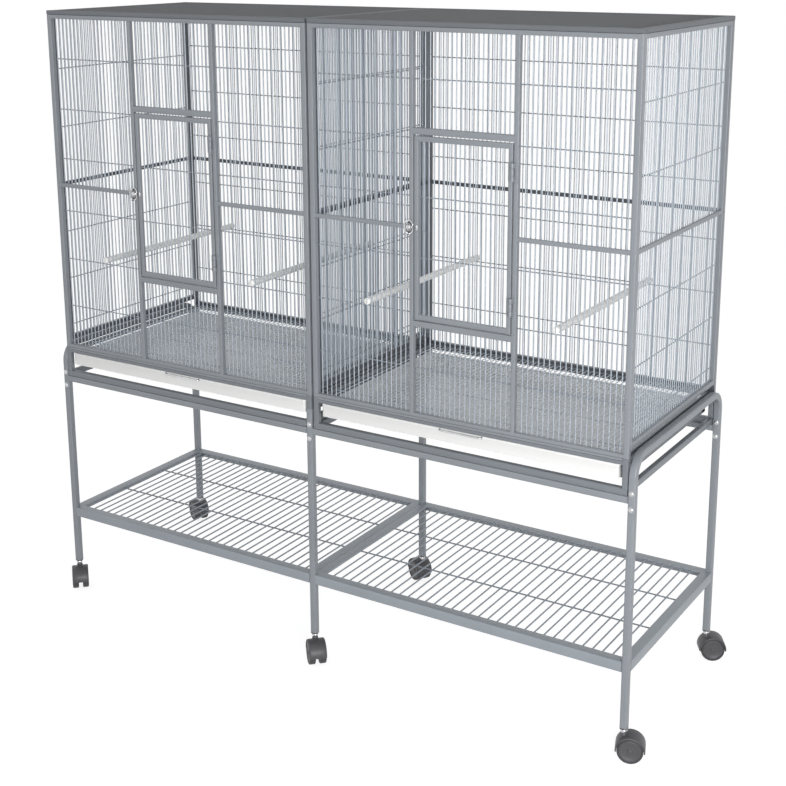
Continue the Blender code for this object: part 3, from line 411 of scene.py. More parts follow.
def front_plane(cx):
    """Places (across, up, depth) of a front or back wall."""
    return lambda u, v, w: Vector((cx + u, w, v))


def side_plane(cx):
    """Places (along the depth, up, across) of a side wall."""
    return lambda u, v, w: Vector((cx + w, u, v))


def flat_plane(cx):
    """Places (across, along the depth, up) of a level panel."""
    return lambda u, v, w: Vector((cx + u, v, w))


def facing(*outward):
    """The turn that brings Z to a direction."""
    return Vector(outward).to_track_quat("Z", "X").to_matrix().to_4x4()


def slab(bm, plane, u0, v0, u1, v1, w0, w1, **kinds):
    """A tube in a panel's own plane."""
    a, b = plane(u0, v0, w0), plane(u1, v1, w1)
    bar(bm, [min(p, q) for p, q in zip(a, b)], [max(p, q) for p, q in zip(a, b)], **kinds)


def rails(bm, plane, reach, spans, w0, w1):
    """Rails that reach a little into the posts at both ends, one for each (low, high)."""
    for low, high in spans:
        slab(bm, plane, -reach - TUCK, low, reach + TUCK, high, w0, w1)


def upright_wires(bm, plane, window, depth, radius=WIRE, mat=1):
    """Fills a window with close wires, on one grid for all panels."""
    u0, v0, u1, v1 = window
    for u in columns(u0, u1):
        rod(bm, plane(u, v0 - BITE, depth), plane(u, v1 + BITE, depth), radius, mat=mat)


def cross_wires(bm, plane, window, depth, rows, radius=WIRE, mat=1):
    """Lays cross wires at the rows that are well inside a window."""
    u0, v0, u1, v1 = window
    for v in rows:
        if v0 + PITCH < v < v1 - PITCH:
            rod(bm, plane(u0 - BITE, v, depth), plane(u1 + BITE, v, depth), radius, mat=mat)


def spaced(first, pitch, count):
    """Heights at the same distances below and above the mid rail."""
    steps = [first + pitch * i for i in range(count)]
    return [MID - step for step in reversed(steps)] + [MID + step for step in steps]


ROW_PITCH = 127 * MM
WALL_ROWS = spaced(68 * MM, ROW_PITCH, 4)
PERCH_ROW = WALL_ROWS[2]
SIDE_ROWS = [MID - 125 * MM * i for i in (3, 2, 1)] + [MID + 148 * MM * i for i in (1, 2)]


def screw_head(bm, centre, radius, height, mat=0):
    """A screw head that faces the front, low and domed, with a ring-shaped dip round its middle."""
    shape = ((0, 1), (0.35, 1), (0.42, 0.72), (0.55, 0.98), (0.85, 0.7), (1, 0.2), (1, -0.2), (0, -0.2))
    profile = [(radius * r, height * h) for r, h in shape]
    lathe_solid(bm, profile, Matrix.Translation(centre) @ facing(0, -1, 0), steps=20, mat=mat)


def front_panel(side):
    """The front wall, with the doorway and the latch's pin."""
    bm = bmesh.new()
    plane = front_plane(CAGE_X[side])
    f, b = -HALF_D, -HALF_D + POST
    inner = HALF_W - POST
    up = JAMB + JAMB_WIDTH
    low, high = WALL_LOW + BOTTOM_RAIL, WALL_HIGH - TOP_RAIL
    sill_low, head_high = SILL - DOORWAY_RAIL, HEAD + DOORWAY_RAIL
    for s in (-1, 1):
        slab(bm, plane, s * inner, WALL_LOW, s * HALF_W, WALL_HIGH, f, b)
        slab(bm, plane, s * JAMB, low - JAMB_BITE, s * up, high + JAMB_BITE, f + HALF_STEP, b - STEP)
        slab(bm, plane, s * (up - TUCK), MID_LOW, s * (inner + TUCK), MID_HIGH, f + MID_NEAR, f + MID_FAR)
    rails(bm, plane, inner, ((WALL_LOW, low), (high, WALL_HIGH)), f + STEP, b - STEP)
    rails(bm, plane, JAMB, ((sill_low, SILL), (HEAD, head_high)), f + STEP, b - 2 * STEP)
    for window in ((-inner, low, -up, high), (up, low, inner, high), (-JAMB, low, JAMB, sill_low),
                   (-JAMB, head_high, JAMB, high)):
        upright_wires(bm, plane, window, f + COLUMN_DEPTH)
        cross_wires(bm, plane, window, f + ROW_DEPTH - ROW_SHY, WALL_ROWS, mat=3)
    pin = f - PIN_GAP - LATCH_DEPTH - PIN_GAP
    rod(bm, plane(LATCH_X, MID, pin - TUCK), plane(LATCH_X, MID, f + 3 * MM),
        radius=2.4 * MM, sides=12, mat=2)
    screw_head(bm, plane(LATCH_X, MID, pin), radius=6 * MM, height=1.9 * MM, mat=2)
    return piece(side + "_front_panel_dressed", bm, [TUBE, WIRES, ZINC, CROSS_SHADE], ROOT, side + "_front_panel")


def back_panel(side):
    """The back wall, a frame with a mid rail and wires."""
    cx = CAGE_X[side]
    bm = bmesh.new()
    plane = front_plane(cx)
    f, b = HALF_D - POST, HALF_D
    inner = HALF_W - POST
    low, high = WALL_LOW + BOTTOM_RAIL, WALL_HIGH - TOP_RAIL
    for s in (-1, 1):
        slab(bm, plane, s * inner, WALL_LOW, s * HALF_W, WALL_HIGH, f, b)
    rails(bm, plane, inner, ((WALL_LOW, low), (high, WALL_HIGH)), f + STEP, b - STEP)
    rails(bm, plane, inner, ((MID_LOW, MID_HIGH),), b - MID_FAR, b - MID_NEAR)
    window = (-inner, low, inner, high)
    upright_wires(bm, plane, window, b - COLUMN_DEPTH)
    cross_wires(bm, plane, window, b - ROW_DEPTH + ROW_SHY, WALL_ROWS, mat=2)

    def shaded_ways(face):
        """The ways whose faces get painted shade: to the front, and towards the cage's middle."""
        return (0, -1, 0), (-math.copysign(1, face.calc_center_median().x - cx), 0, 0)

    # Tube faces that look into the cage get the darker coat as painted shade
    return piece(side + "_back_panel_dressed", bm, [TUBE, WIRES, CROSS_SHADE, INNER_SHADE], ROOT, side + "_back_panel",
                 shaded_ways=shaded_ways)


def side_panel(side, wall):
    """A side wall, which stands between the front and the back."""
    s = -1 if wall == "left" else 1
    bm = bmesh.new()
    plane = side_plane(CAGE_X[side])
    reach = HALF_D - POST - GAP
    foot = WALL_LOW + SIDE_FOOT
    inner = reach - SIDE_STILE
    outer, back = s * HALF_W, s * (HALF_W - POST)
    low, high = foot + POST, WALL_HIGH - TOP_RAIL
    for e in (-1, 1):
        slab(bm, plane, e * inner, foot, e * reach, WALL_HIGH, outer, back)
    rails(bm, plane, inner, ((foot, low), (high, WALL_HIGH)), outer - s * STEP, back + s * STEP)
    rails(bm, plane, inner, ((MID_LOW, MID_HIGH),), outer - s * MID_FAR, outer - s * MID_NEAR)
    window = (-inner, low, inner, high)
    upright_wires(bm, plane, window, outer - s * COLUMN_DEPTH)
    cross_wires(bm, plane, window, outer - s * (ROW_DEPTH - ROW_SHY), SIDE_ROWS, mat=2)
    name = f"{side}_{wall}_side_panel"
    # Tube faces that look into the cage get the darker coat as painted shade
    return piece(name + "_dressed", bm, [TUBE, WIRES, CROSS_SHADE, INNER_SHADE], ROOT, name,
                 shaded_ways=lambda face: ((-s, 0, 0),))


def roof_panel(side):
    """The roof, a frame with close wires from front to back, in darker coats that paint shade on it."""
    bm = bmesh.new()
    plane = flat_plane(CAGE_X[side])
    inner_x, inner_y = HALF_W - POST, HALF_D - POST
    for s in (-1, 1):
        slab(bm, plane, -HALF_W, s * inner_y, HALF_W, s * HALF_D, ROOF_LOW, ROOF_HIGH)
        slab(bm, plane, s * inner_x, -inner_y - TUCK, s * HALF_W, inner_y + TUCK,
             ROOF_LOW + STEP, ROOF_HIGH - STEP)
    window = (-inner_x, -inner_y, inner_x, inner_y)
    upper = ROOF_HIGH - MM - CAD_WIRE
    upright_wires(bm, plane, window, upper)
    cross_wires(bm, plane, window, upper - 2 * WIRE, columns(-inner_y, inner_y, ROW_PITCH))
    # The frame's upper and lower faces and all the wires get the darker roof coat as painted shade
    return piece(side + "_roof_panel_dressed", bm, [ROOF_RAIL_SHADE, ROOF_SHADE, ROOF_SHADE], ROOT, side + "_roof_panel",
                 shaded_ways=lambda face: ((0, 0, 1), (0, 0, -1)))


# Doors, hinges and latches

HINGE_HEIGHTS = {"upper": HEAD - HINGE_INSET, "lower": SILL + HINGE_INSET}
HINGE_SCREWS = (-12 * MM, 12 * MM)
SCREW_R = 2.2 * MM
SCREW_HEIGHT = 0.9 * MM


def knuckle(bm, plane, low, high):
    """A knuckle of a hinge, between two heights on the pin."""
    rod(bm, plane(HINGE_X, low, HINGE_Y), plane(HINGE_X, high, HINGE_Y), KNUCKLE_R, sides=20, dome=0.3 * MM)


def door(side):
    """A door with its knuckles and leaves of the hinges, and its keeper."""
    bm = bmesh.new()
    plane = front_plane(CAGE_X[side])
    f, b = -HALF_D, -HALF_D + DOOR_DEPTH
    low, high = SILL + DOOR_GAP, HEAD - DOOR_GAP
    inner = DOOR_HALF - DOOR_STILE
    for s in (-1, 1):
        slab(bm, plane, s * inner, low, s * DOOR_HALF, high, f, b)
    rails(bm, plane, inner, ((low, low + DOOR_RAIL), (high - DOOR_RAIL, high)), f + STEP, b - STEP)
    window = (-inner, low + DOOR_RAIL, inner, high - DOOR_RAIL)
    middle = (f + b) / 2
    upright_wires(bm, plane, window, middle - WIRE)
    cross_wires(bm, plane, window, middle + WIRE, WALL_ROWS, mat=3)
    for z in HINGE_HEIGHTS.values():
        knuckle(bm, plane, z - KNUCKLE_HALF, z + KNUCKLE_HALF)
        slab(bm, plane, HINGE_X - 5 * MM, z - KNUCKLE_HALF, HINGE_X - MM, z + KNUCKLE_HALF,
             LEAF_FRONT, LEAF_BACK, radius=0.3 * MM)
        slab(bm, plane, HINGE_X - LEAF_OUTER, z - LEAF_HALF, HINGE_X - LEAF_INNER, z + LEAF_HALF,
             LEAF_FRONT, -HALF_D + 0.5 * MM, radius=0.5 * MM, axis=2)
        for up in HINGE_SCREWS:
            screw_head(bm, plane(HINGE_X - 7.6 * MM, z + up, LEAF_FRONT), SCREW_R, SCREW_HEIGHT)
    slab(bm, plane, KEEPER_X, MID - KEEPER_HALF, -DOOR_HALF + DOOR_STILE - GAP, MID + KEEPER_HALF,
         f - 3 * MM, f + TUCK, mat=2, radius=0.8 * MM, axis=2, ends=0.6 * MM)
    return piece(side + "_door_dressed", bm, [TUBE, WIRES, ZINC, CROSS_SHADE], side + "_door", side + "_door")


def door_hinge(side, which):
    """The fixed half of a hinge, with its pin."""
    z = HINGE_HEIGHTS[which]
    plane = front_plane(CAGE_X[side])
    bm = bmesh.new()
    low, high = z - LEAF_HALF, z + LEAF_HALF
    slab(bm, plane, HINGE_X + LEAF_INNER, low, HINGE_X + LEAF_OUTER, high, LEAF_FRONT, LEAF_BACK,
         radius=0.5 * MM, axis=2)
    free = KNUCKLE_HALF + PIN_GAP
    for a, b in ((low, z - free), (z + free, high)):
        knuckle(bm, plane, a, b)
        slab(bm, plane, HINGE_X + MM, a + 0.3 * MM, HINGE_X + 5 * MM, b - 0.3 * MM, LEAF_FRONT, LEAF_BACK,
             radius=0.3 * MM, axis=2)
    pin = LEAF_HALF - 0.5 * MM
    rod(bm, plane(HINGE_X, z - pin, HINGE_Y), plane(HINGE_X, z + pin, HINGE_Y), radius=1.9 * MM, sides=12)
    for up in HINGE_SCREWS:
        screw_head(bm, plane(HINGE_X + 7.8 * MM, z + up, LEAF_FRONT), SCREW_R, SCREW_HEIGHT)
    name = f"{side}_door_hinge_{which}"
    return piece(name + "_dressed", bm, [TUBE], ROOT, name)


def door_latch(side):
    """An oval plate with a tongue, a raised rim, a collar and two thumb bars; the recess inside the rim is
    darker as painted shade.
    """
    plane = front_plane(CAGE_X[side])
    bm = bmesh.new()
    back = -HALF_D - PIN_GAP
    front = back - LATCH_DEPTH
    half_w, half_h, tongue = 13 * MM, 18 * MM, 4 * MM
    # The tongue's corners stop 0.5 mm short of the door's edge
    swing = -DOOR_HALF - LATCH_X - 0.5 * MM
    tip = math.sqrt(swing ** 2 - tongue ** 2)
    spread = math.asin(tongue / half_h)
    steps = 40
    outline = []
    for i in range(steps + 1):
        a = spread + (2 * math.pi - 2 * spread) * i / steps
        outline.append((half_w * math.cos(a), half_h * math.sin(a)))
    outline += [(tip - MM, -tongue), (tip, -tongue + MM), (tip, tongue - MM), (tip - MM, tongue)]

    def ring(scale, depth):
        """The outline, scaled about the pin, at a depth."""
        return [plane(LATCH_X + u * scale, MID + v * scale, depth) for u, v in outline]

    rings = [ring(0.97, back), ring(1.0, back - 0.5 * MM), ring(1.0, front + 0.8 * MM), ring(0.95, front),
             ring(0.82, front), ring(0.76, front + 0.9 * MM)]
    skin(bm, rings, caps=False)
    # The recess's floor gets the darker zinc as painted shade
    for loop, mat in ((reversed(rings[0]), 0), (rings[-1], 1)):
        face = bm.faces.new([bm.verts.new(p) for p in loop])
        face.material_index, face.smooth = mat, False
    collar = [(8.2 * MM, -0.2 * MM), (8.6 * MM, 0.3 * MM), (8.2 * MM, 0.7 * MM), (7.4 * MM, 0.6 * MM),
              (7.0 * MM, -0.2 * MM)]
    lathe(bm, collar, Matrix.Translation(plane(LATCH_X, MID, front)) @ facing(0, -1, 0), steps=28)
    for s in (-1, 1):
        a, b = sorted((MID + s * 17 * MM, MID + s * 9 * MM))
        slab(bm, plane, LATCH_X - 1.5 * MM, a, LATCH_X + 1.5 * MM, b, front - 7 * MM, front + TUCK,
             radius=1.1 * MM, axis=2, ends=0.5 * MM)
    return piece(side + "_door_latch_dressed", bm, [ZINC, LATCH_RECESS_SHADE], side + "_latch", side + "_door_latch")


# Grates, trays and perches

def floor_grate(side):
    """A rim with close wires, which slides out under the front wall."""
    plane = flat_plane(CAGE_X[side])
    bm = bmesh.new()
    half = HALF_W - POST - PIN_GAP
    front, back, rim = -HALF_D, GRATE_BACK, GRATE_RIM
    soft = 1.2 * MM
    for a, b in ((front, front + rim), (back - rim, back)):
        slab(bm, plane, -half, a, half, b, GRATE_LOW, GRATE_HIGH, radius=soft)
    for s in (-1, 1):
        slab(bm, plane, s * (half - rim), front + TUCK, s * half, back - TUCK,
             GRATE_LOW + STEP, GRATE_HIGH - STEP, radius=soft)
    window = (-half + rim, front + rim, half - rim, back - rim)
    middle = (GRATE_LOW + GRATE_HIGH) / 2
    upright_wires(bm, plane, window, middle + CAD_WIRE, radius=CAD_WIRE)
    rows = columns(window[1], window[3], ROW_PITCH)
    cross_wires(bm, plane, window, middle - CAD_WIRE, rows, radius=CAD_WIRE)
    # The grate's wires get the lighter coat as painted light
    return piece(side + "_floor_grate_dressed", bm, [TUBE, MESH], side + "_grate", side + "_floor_grate")


def tray(side):
    """An open tray with a rolled edge and a bent wire pull."""
    cx = CAGE_X[side]
    bm = bmesh.new()
    front, back = TRAY_FRONT, TRAY_FRONT + TRAY_LENGTH
    corner = 6 * MM
    wall = 1.4 * MM
    middle_y = (front + back) / 2
    half_l = (back - front) / 2

    def ring(inset, z, radius):
        """The tray's outline, drawn in, at a height."""
        outline = rounded(TRAY_HALF - inset, half_l - inset, radius, 4)
        return [Vector((cx + u, middle_y + v, z)) for u, v in outline]

    outside = [
        ring(3 * MM, TRAY_LOW, corner - 2 * MM), ring(1.2 * MM, TRAY_LOW + 0.6 * MM, corner - MM),
        ring(0.6 * MM, TRAY_LOW + 2.4 * MM, corner), ring(0.6 * MM, TRAY_HIGH - 5 * MM, corner)]
    rolled_edge = [
        ring(0, TRAY_HIGH - 4.4 * MM, corner), ring(0, TRAY_HIGH - 0.6 * MM, corner),
        ring(0.6 * MM, TRAY_HIGH, corner), ring(wall + MM, TRAY_HIGH, corner - MM)]
    inside = [
        ring(wall + 1.4 * MM, TRAY_HIGH - 0.6 * MM, corner - MM),
        ring(wall + 1.4 * MM, TRAY_LOW + 5 * MM, corner - MM),
        ring(wall + 3 * MM, TRAY_LOW + 2.4 * MM, corner - 1.5 * MM),
        ring(wall + 6 * MM, TRAY_LOW + 1.6 * MM, corner - 2 * MM)]
    skin(bm, outside + rolled_edge + inside, caps=False)
    for loop in (reversed(outside[0]), inside[-1]):
        face = bm.faces.new([bm.verts.new(p) for p in loop])
        face.smooth = False
    z = TRAY_HIGH - PULL_DROP
    root, reach = front + 2 * MM, front - PULL_REACH
    left, right = cx - PULL_HALF, cx + PULL_HALF
    path = bend([(left, root, z), (left, reach, z), (right, reach, z), (right, root, z)], 4 * MM)
    sweep(bm, path, circle(2 * MM), (0, 0, 1), mat=1)
    boss = [(0, 0.8 * MM), (2.5 * MM, 0.8 * MM), (2.9 * MM, 0.3 * MM), (2.9 * MM, -0.6 * MM),
            (0, -0.6 * MM)]
    for x in (left, right):
        place = Matrix.Translation((x, front + 0.5 * MM, z)) @ facing(0, -1, 0)
        lathe_solid(bm, boss, place, steps=20, mat=1)
    return piece(side + "_tray_dressed", bm, [ENAMEL, ZINC], side + "_tray", side + "_tray")


def perch(side, which, offset):
    """A dowel from wall to wall, with a slot at each end that straddles an upright wire."""
    x = CAGE_X[side] + min(columns(-HALF_W + POST, HALF_W - POST), key=lambda w: abs(w - offset))
    z = PERCH_ROW + CAD_WIRE + GAP + 8 * MM
    soft, slot_depth = 0.8 * MM, 5 * MM
    end = HALF_D - COLUMN_DEPTH - CAD_WIRE - GAP + slot_depth
    stretches = 24
    free = 2 * end - 2 * slot_depth
    path = [(-end, PERCH_R - soft), (-end + soft, PERCH_R)]
    path += [(-end + slot_depth + free * i / stretches, PERCH_R) for i in range(stretches + 1)]
    path += [(end - soft, PERCH_R), (end, PERCH_R - soft)]
    bm = bmesh.new()
    skin(bm, [[Vector((x + u, y, z + v)) for u, v in circle(r, sides=32)] for y, r in path])
    obj = piece(f"{side}_perch_{which}_dressed", bm, [DOWEL], ROOT, f"{side}_perch_{which}")
    cutter = bmesh.new()
    for s in (-1, 1):
        a, b = sorted((s * (end - slot_depth), s * (end + slot_depth)))
        size = Matrix.Diagonal((2 * (WIRE + 0.2 * MM), b - a, 4 * PERCH_R, 1))
        bmesh.ops.create_cube(cutter, size=1, matrix=Matrix.Translation((x, (a + b) / 2, z)) @ size)
    mesh = bpy.data.meshes.new("perch_slots")
    cutter.to_mesh(mesh)
    cutter.free()
    helper = bpy.data.objects.new("perch_slots", mesh)
    bpy.context.scene.collection.objects.link(helper)
    cut = obj.modifiers.new("slots", "BOOLEAN")
    cut.operation = "DIFFERENCE"
    cut.object = helper
    bpy.context.view_layer.update()
    graph = bpy.context.evaluated_depsgraph_get()
    shaped = bpy.data.meshes.new_from_object(obj.evaluated_get(graph))
    obj.modifiers.clear()
    obj.data = shaped
    shaped.set_sharp_from_angle(angle=SHARP)
    bpy.data.objects.remove(helper, do_unlink=True)
    return obj


# Base frames

def base_frame(side):
    """The frame under a cage: bottom rails, corner posts, ledge and the tray's runners."""
    cx = CAGE_X[side]
    plane = flat_plane(cx)
    bm = bmesh.new()
    over_leg = side == "left"
    right = LEG_X["middle"] - LEG / 2 - GAP - cx if over_leg else HALF_W
    inner = HALF_D - LEG
    ledge = {"radius": 0.9 * MM}
    for s in (-1, 1):
        slab(bm, plane, -HALF_W, s * inner, right, s * HALF_D, BASE_LOW, BASE_TOP, radius=3.4 * MM)
        slab(bm, plane, -HALF_W + SHY, s * (HALF_D - POST), HALF_W - SHY, s * (HALF_D - SHY),
             LEDGE_LOW, LEDGE_HIGH, **ledge)
        a, b = sorted((s * (HALF_W - LEDGE_WIDTH), s * (HALF_W - SHY)))
        slab(bm, plane, a, -HALF_D + TUCK, b, HALF_D - TUCK, LEDGE_LOW + STEP, LEDGE_HIGH - STEP, **ledge)
    for a, b in ((-HALF_W, -HALF_W + BASE_SIDE), (right - BASE_SIDE, right)):
        slab(bm, plane, a, -inner - TUCK, b, inner + TUCK, BASE_LOW + STEP, BASE_TOP - STEP, radius=1.8 * MM)
    reach = HALF_D - 4 * MM - LEG
    lip_top = TRAY_LOW - GAP
    lip_low = lip_top - RUNNER_PLATE
    for sx in (-1, 1):
        foot = MIDDLE_TOP + GAP if over_leg and sx > 0 else BASE_TOP - TUCK
        for sy in (-1, 1):
            slab(bm, plane, sx * (HALF_W - POST), sy * (HALF_D - POST), sx * HALF_W, sy * HALF_D,
                 foot, WALL_LOW - GAP, radius=1.4 * MM, axis=2)
        near, far = sx * RUNNER, sx * (RUNNER + RUNNER_PLATE)
        slab(bm, plane, near, -reach, far, reach, lip_low, lip_low + RUNNER_HEIGHT, radius=0.5 * MM)
        slab(bm, plane, sx * (RUNNER - RUNNER_LIP), -reach, sx * (RUNNER + TUCK), reach, lip_low, lip_top,
             radius=0.5 * MM)
        for sy in (-1, 1):
            a, b = sorted((sy * reach, sy * (reach - HANGER)))
            slab(bm, plane, near, a, far, b, lip_low + TUCK, LEDGE_LOW + TUCK, radius=0.4 * MM, axis=2)
    # The whole frame wears the darker coat that paints the shade under the ledge
    return piece(side + "_base_frame_dressed", bm, [BASE_SHADE], ROOT, side + "_base_frame")


# Stand

LOWER_BOLT = 11 * MM  # from a hoop's foot up, or from a stand rail down
BASE_BOLT = BASE_LOW + LEG / 2


def bolt(bm, x, y, z, outward):
    """A washer and a low round bolt head."""
    profile = [(0, 2.5 * MM), (2.4 * MM, 2.5 * MM), (4.2 * MM, 2.0 * MM), (4.9 * MM, 1.1 * MM),
               (5.0 * MM, 0.7 * MM), (6.2 * MM, 0.6 * MM), (6.4 * MM, 0.3 * MM), (6.4 * MM, -0.4 * MM),
               (0, -0.4 * MM)]
    lathe_solid(bm, profile, Matrix.Translation((x, y, z)) @ facing(0, outward, 0), steps=24, mat=1)


def leg(row, column):
    """A square leg with a plastic foot; the middle ones carry bolts."""
    x, y = LEG_X[column], LEG_Y * (-1 if row == "front" else 1)
    top = MIDDLE_TOP if column == "middle" else LEG_TOP
    bm = bmesh.new()
    h = LEG / 2
    foot = LEG_LOW + FOOT_HEIGHT
    bar(bm, (x - h, y - h, foot), (x + h, y + h, top), radius=2.2 * MM, axis=2)
    bar(bm, (x - h, y - h, LEG_LOW), (x + h, y + h, foot + 2 * STEP), radius=2.4 * MM, axis=2, mat=2,
        ends=0.5 * MM)
    if column == "middle":
        outward = 1 if y > 0 else -1
        for z in (RAIL_BOTTOM - LOWER_BOLT, BASE_BOLT):
            bolt(bm, x, y + outward * h, z, outward)
    return piece(f"{row}_{column}_leg_dressed", bm, [TUBE, ZINC, HOUSING], ROOT, f"{row}_{column}_leg")


def hoop(side):
    """An inverted U of square tube that slips on two legs, bolted through at each."""
    x = LEG_X[side]
    bm = bmesh.new()
    h = LEG / 2
    top = HOOP_HIGH - h
    corners = [(x, -LEG_Y, HOOP_FOOT), (x, -LEG_Y, top), (x, LEG_Y, top), (x, LEG_Y, HOOP_FOOT)]
    sweep(bm, bend(corners, 45 * MM, steps=14), rounded(h, h, 2.2 * MM), (1, 0, 0))
    for outward in (-1, 1):
        for z in (HOOP_FOOT + LOWER_BOLT, BASE_BOLT):
            bolt(bm, x, outward * HALF_D, z, outward)
            bolt(bm, x, outward * (LEG_Y - h), z, -outward)
    return piece(side + "_hoop_dressed", bm, [TUBE, ZINC], ROOT, side + "_hoop")


def stand_rail(row, side):
    """A rail between two legs."""
    y = LEG_Y * (-1 if row == "front" else 1)
    h = LEG / 2
    start, end = ("left", "middle") if side == "left" else ("middle", "right")
    x0, x1 = LEG_X[start] + h + GAP, LEG_X[end] - h - GAP
    bm = bmesh.new()
    bar(bm, (x0, y - h, RAIL_BOTTOM), (x1, y + h, RAIL_TOP), radius=3.4 * MM)
    return piece(f"{row}_{side}_stand_rail_dressed", bm, [TUBE], ROOT, f"{row}_{side}_stand_rail")


def shelf(side):
    """An angle frame notched round the legs, with wires from front to back on two cross wires."""
    outer = LEG_X["right"] + LEG / 2
    wide, narrow = LEG + GAP, LEG / 2 + GAP / 2
    if side == "left":
        x0, x1, notch0, notch1 = -outer, LEG_X["middle"] - GAP / 2, wide, narrow
    else:
        x0, x1, notch0, notch1 = LEG_X["middle"] + GAP / 2, outer, narrow, wide
    bm = bmesh.new()
    top = SHELF_TOP
    foot = top - SHELF_FLANGE
    under = top - SHELF_PLATE
    inner_y = HALF_D - LEG - GAP
    for s in (-1, 1):
        a, b = sorted((s * (HALF_D - SHELF_FLANGE), s * (HALF_D - SHY)))
        bar(bm, (x0 + notch0, a, under), (x1 - notch1, b, top), radius=0.8 * MM)
        a, b = sorted((s * (HALF_D - SHELF_SKIRT), s * HALF_D))
        bar(bm, (x0 + notch0, a, foot), (x1 - notch1, b, top - MM), radius=0.6 * MM)
    for a, b, c, d in ((x0 + SHY, x0 + SHELF_FLANGE, x0, x0 + SHELF_SKIRT),
                       (x1 - SHELF_FLANGE, x1 - SHY, x1 - SHELF_SKIRT, x1)):
        bar(bm, (a, -inner_y, under), (b, inner_y, top - HALF_STEP), radius=0.8 * MM)
        bar(bm, (c, -inner_y, foot), (d, inner_y, top - MM), radius=0.6 * MM)
    for x, d in ((x0 + notch0, 1), (x1 - notch1, -1)):
        for s in (-1, 1):
            a, b = sorted((x, x + d * SHELF_SKIRT))
            c, e = sorted((s * inner_y, s * (HALF_D - MM)))
            bar(bm, (a, c, foot + STEP), (b, e, top - MM), radius=0.5 * MM, axis=2)
    low_x, high_x = x0 + SHELF_FLANGE, x1 - SHELF_FLANGE
    middle = (low_x + high_x) / 2
    half = (high_x - low_x) / 2
    z = top - SHELF_PLATE / 2
    front, back = -HALF_D + SHELF_FLANGE - 3 * MM, HALF_D - SHELF_FLANGE + 3 * MM
    for u in columns(-half, half, SHELF_PITCH):
        rod(bm, (middle + u, front, z), (middle + u, back, z), SHELF_WIRE, sides=10, mat=1)
    z = under - GAP - SHELF_WIRE
    for i in (1, 2):
        y = -HALF_D + SHELF_FLANGE + (CAGE_DEPTH - 2 * SHELF_FLANGE) * i / 3
        rod(bm, (x0 + MM, y, z), (x1 - MM, y, z), SHELF_WIRE, sides=10, mat=1)
    return piece(side + "_shelf_dressed", bm, [SHELF_LIGHT, CROSS_SHADE], ROOT, side + "_shelf")


# Casters

TURNS = {"front_left": -45, "front_middle": -45, "front_right": 20,
         "back_left": 150, "back_middle": 150, "back_right": 30}
WHEEL_R = 29 * MM
TRAIL = 15 * MM
WEB = 4.5 * MM
WHEEL_INNER = 5.5 * MM
WHEEL_OUTER = 21.5 * MM
# The hood's angles run from the caster's X towards its -Z, so that -90, its middle, is the top
HOOD_START = -184
HOOD_TURN = 188
HOOD_STEPS = 40
HOOD_INNER = WHEEL_R + 0.9 * MM
HOOD_OUTER = WHEEL_R + 4 * MM
SEAT = LEG_LOW - GAP
STEM_TOP = LEG_LOW + 24.5 * MM

# Profiles as (radius, place along the axis)
HOOD_PROFILE = [
    (HOOD_INNER, WEB * 0.9), (HOOD_OUTER, WEB * 0.9), (HOOD_OUTER, WHEEL_OUTER - 2.2 * MM),
    (HOOD_OUTER - 0.7 * MM, WHEEL_OUTER - 0.7 * MM), (HOOD_OUTER - 2 * MM, WHEEL_OUTER),
    (HOOD_INNER - 0.1 * MM, WHEEL_OUTER), (HOOD_INNER, WHEEL_OUTER - MM)]
COLLAR_PROFILE = [
    (0, SEAT), (7.2 * MM, SEAT), (8 * MM, SEAT - 0.8 * MM), (8 * MM, SEAT - 4.5 * MM),
    (6.4 * MM, SEAT - 5.5 * MM), (6.4 * MM, SEAT - 7.5 * MM), (0, SEAT - 8 * MM)]
NECK_PROFILE = [
    (0, SEAT - 6.5 * MM), (5.8 * MM, SEAT - 6.5 * MM), (7.2 * MM, SEAT - 10 * MM), (8 * MM, SEAT - 16 * MM),
    (0, SEAT - 16 * MM)]
STEM_PROFILE = [
    (0, STEM_TOP), (4.2 * MM, STEM_TOP), (5 * MM, LEG_LOW + 23 * MM), (5 * MM, HOOD_OUTER), (0, HOOD_OUTER)]
TREAD_PROFILE = [
    (24 * MM, WHEEL_INNER + 1.2 * MM), (26.5 * MM, WHEEL_INNER), (28 * MM, WHEEL_INNER + 0.4 * MM),
    (WHEEL_R, WHEEL_INNER + 1.8 * MM), (WHEEL_R, WHEEL_OUTER - 3 * MM), (28.4 * MM, WHEEL_OUTER - 1.2 * MM),
    (26.8 * MM, WHEEL_OUTER - 0.2 * MM), (25.4 * MM, WHEEL_OUTER), (24.6 * MM, WHEEL_OUTER - 0.6 * MM),
    (24 * MM, WHEEL_OUTER - 2 * MM)]
DISC_PROFILE = [
    (0, WHEEL_OUTER - 1.2 * MM), (4.2 * MM, WHEEL_OUTER - 1.2 * MM), (5 * MM, WHEEL_OUTER - 1.8 * MM),
    (5.4 * MM, WHEEL_OUTER - 3.2 * MM), (7 * MM, WHEEL_OUTER - 3.6 * MM), (19 * MM, WHEEL_OUTER - 2.4 * MM),
    (21 * MM, WHEEL_OUTER - 1.2 * MM), (23.4 * MM, WHEEL_OUTER - 1.0 * MM),
    (24.4 * MM, WHEEL_OUTER - 1.6 * MM), (24.4 * MM, WHEEL_INNER + 1.4 * MM), (0, WHEEL_INNER + 1.4 * MM)]
PIN_PROFILE = [
    (0, WHEEL_OUTER - 2 * MM), (3 * MM, WHEEL_OUTER - 2 * MM), (3 * MM, -WHEEL_OUTER + 2 * MM),
    (0, -WHEEL_OUTER + 2 * MM)]


def on_side(profile, s):
    """A profile on one side of the caster's middle."""
    return [(r, s * h) for r, h in profile]


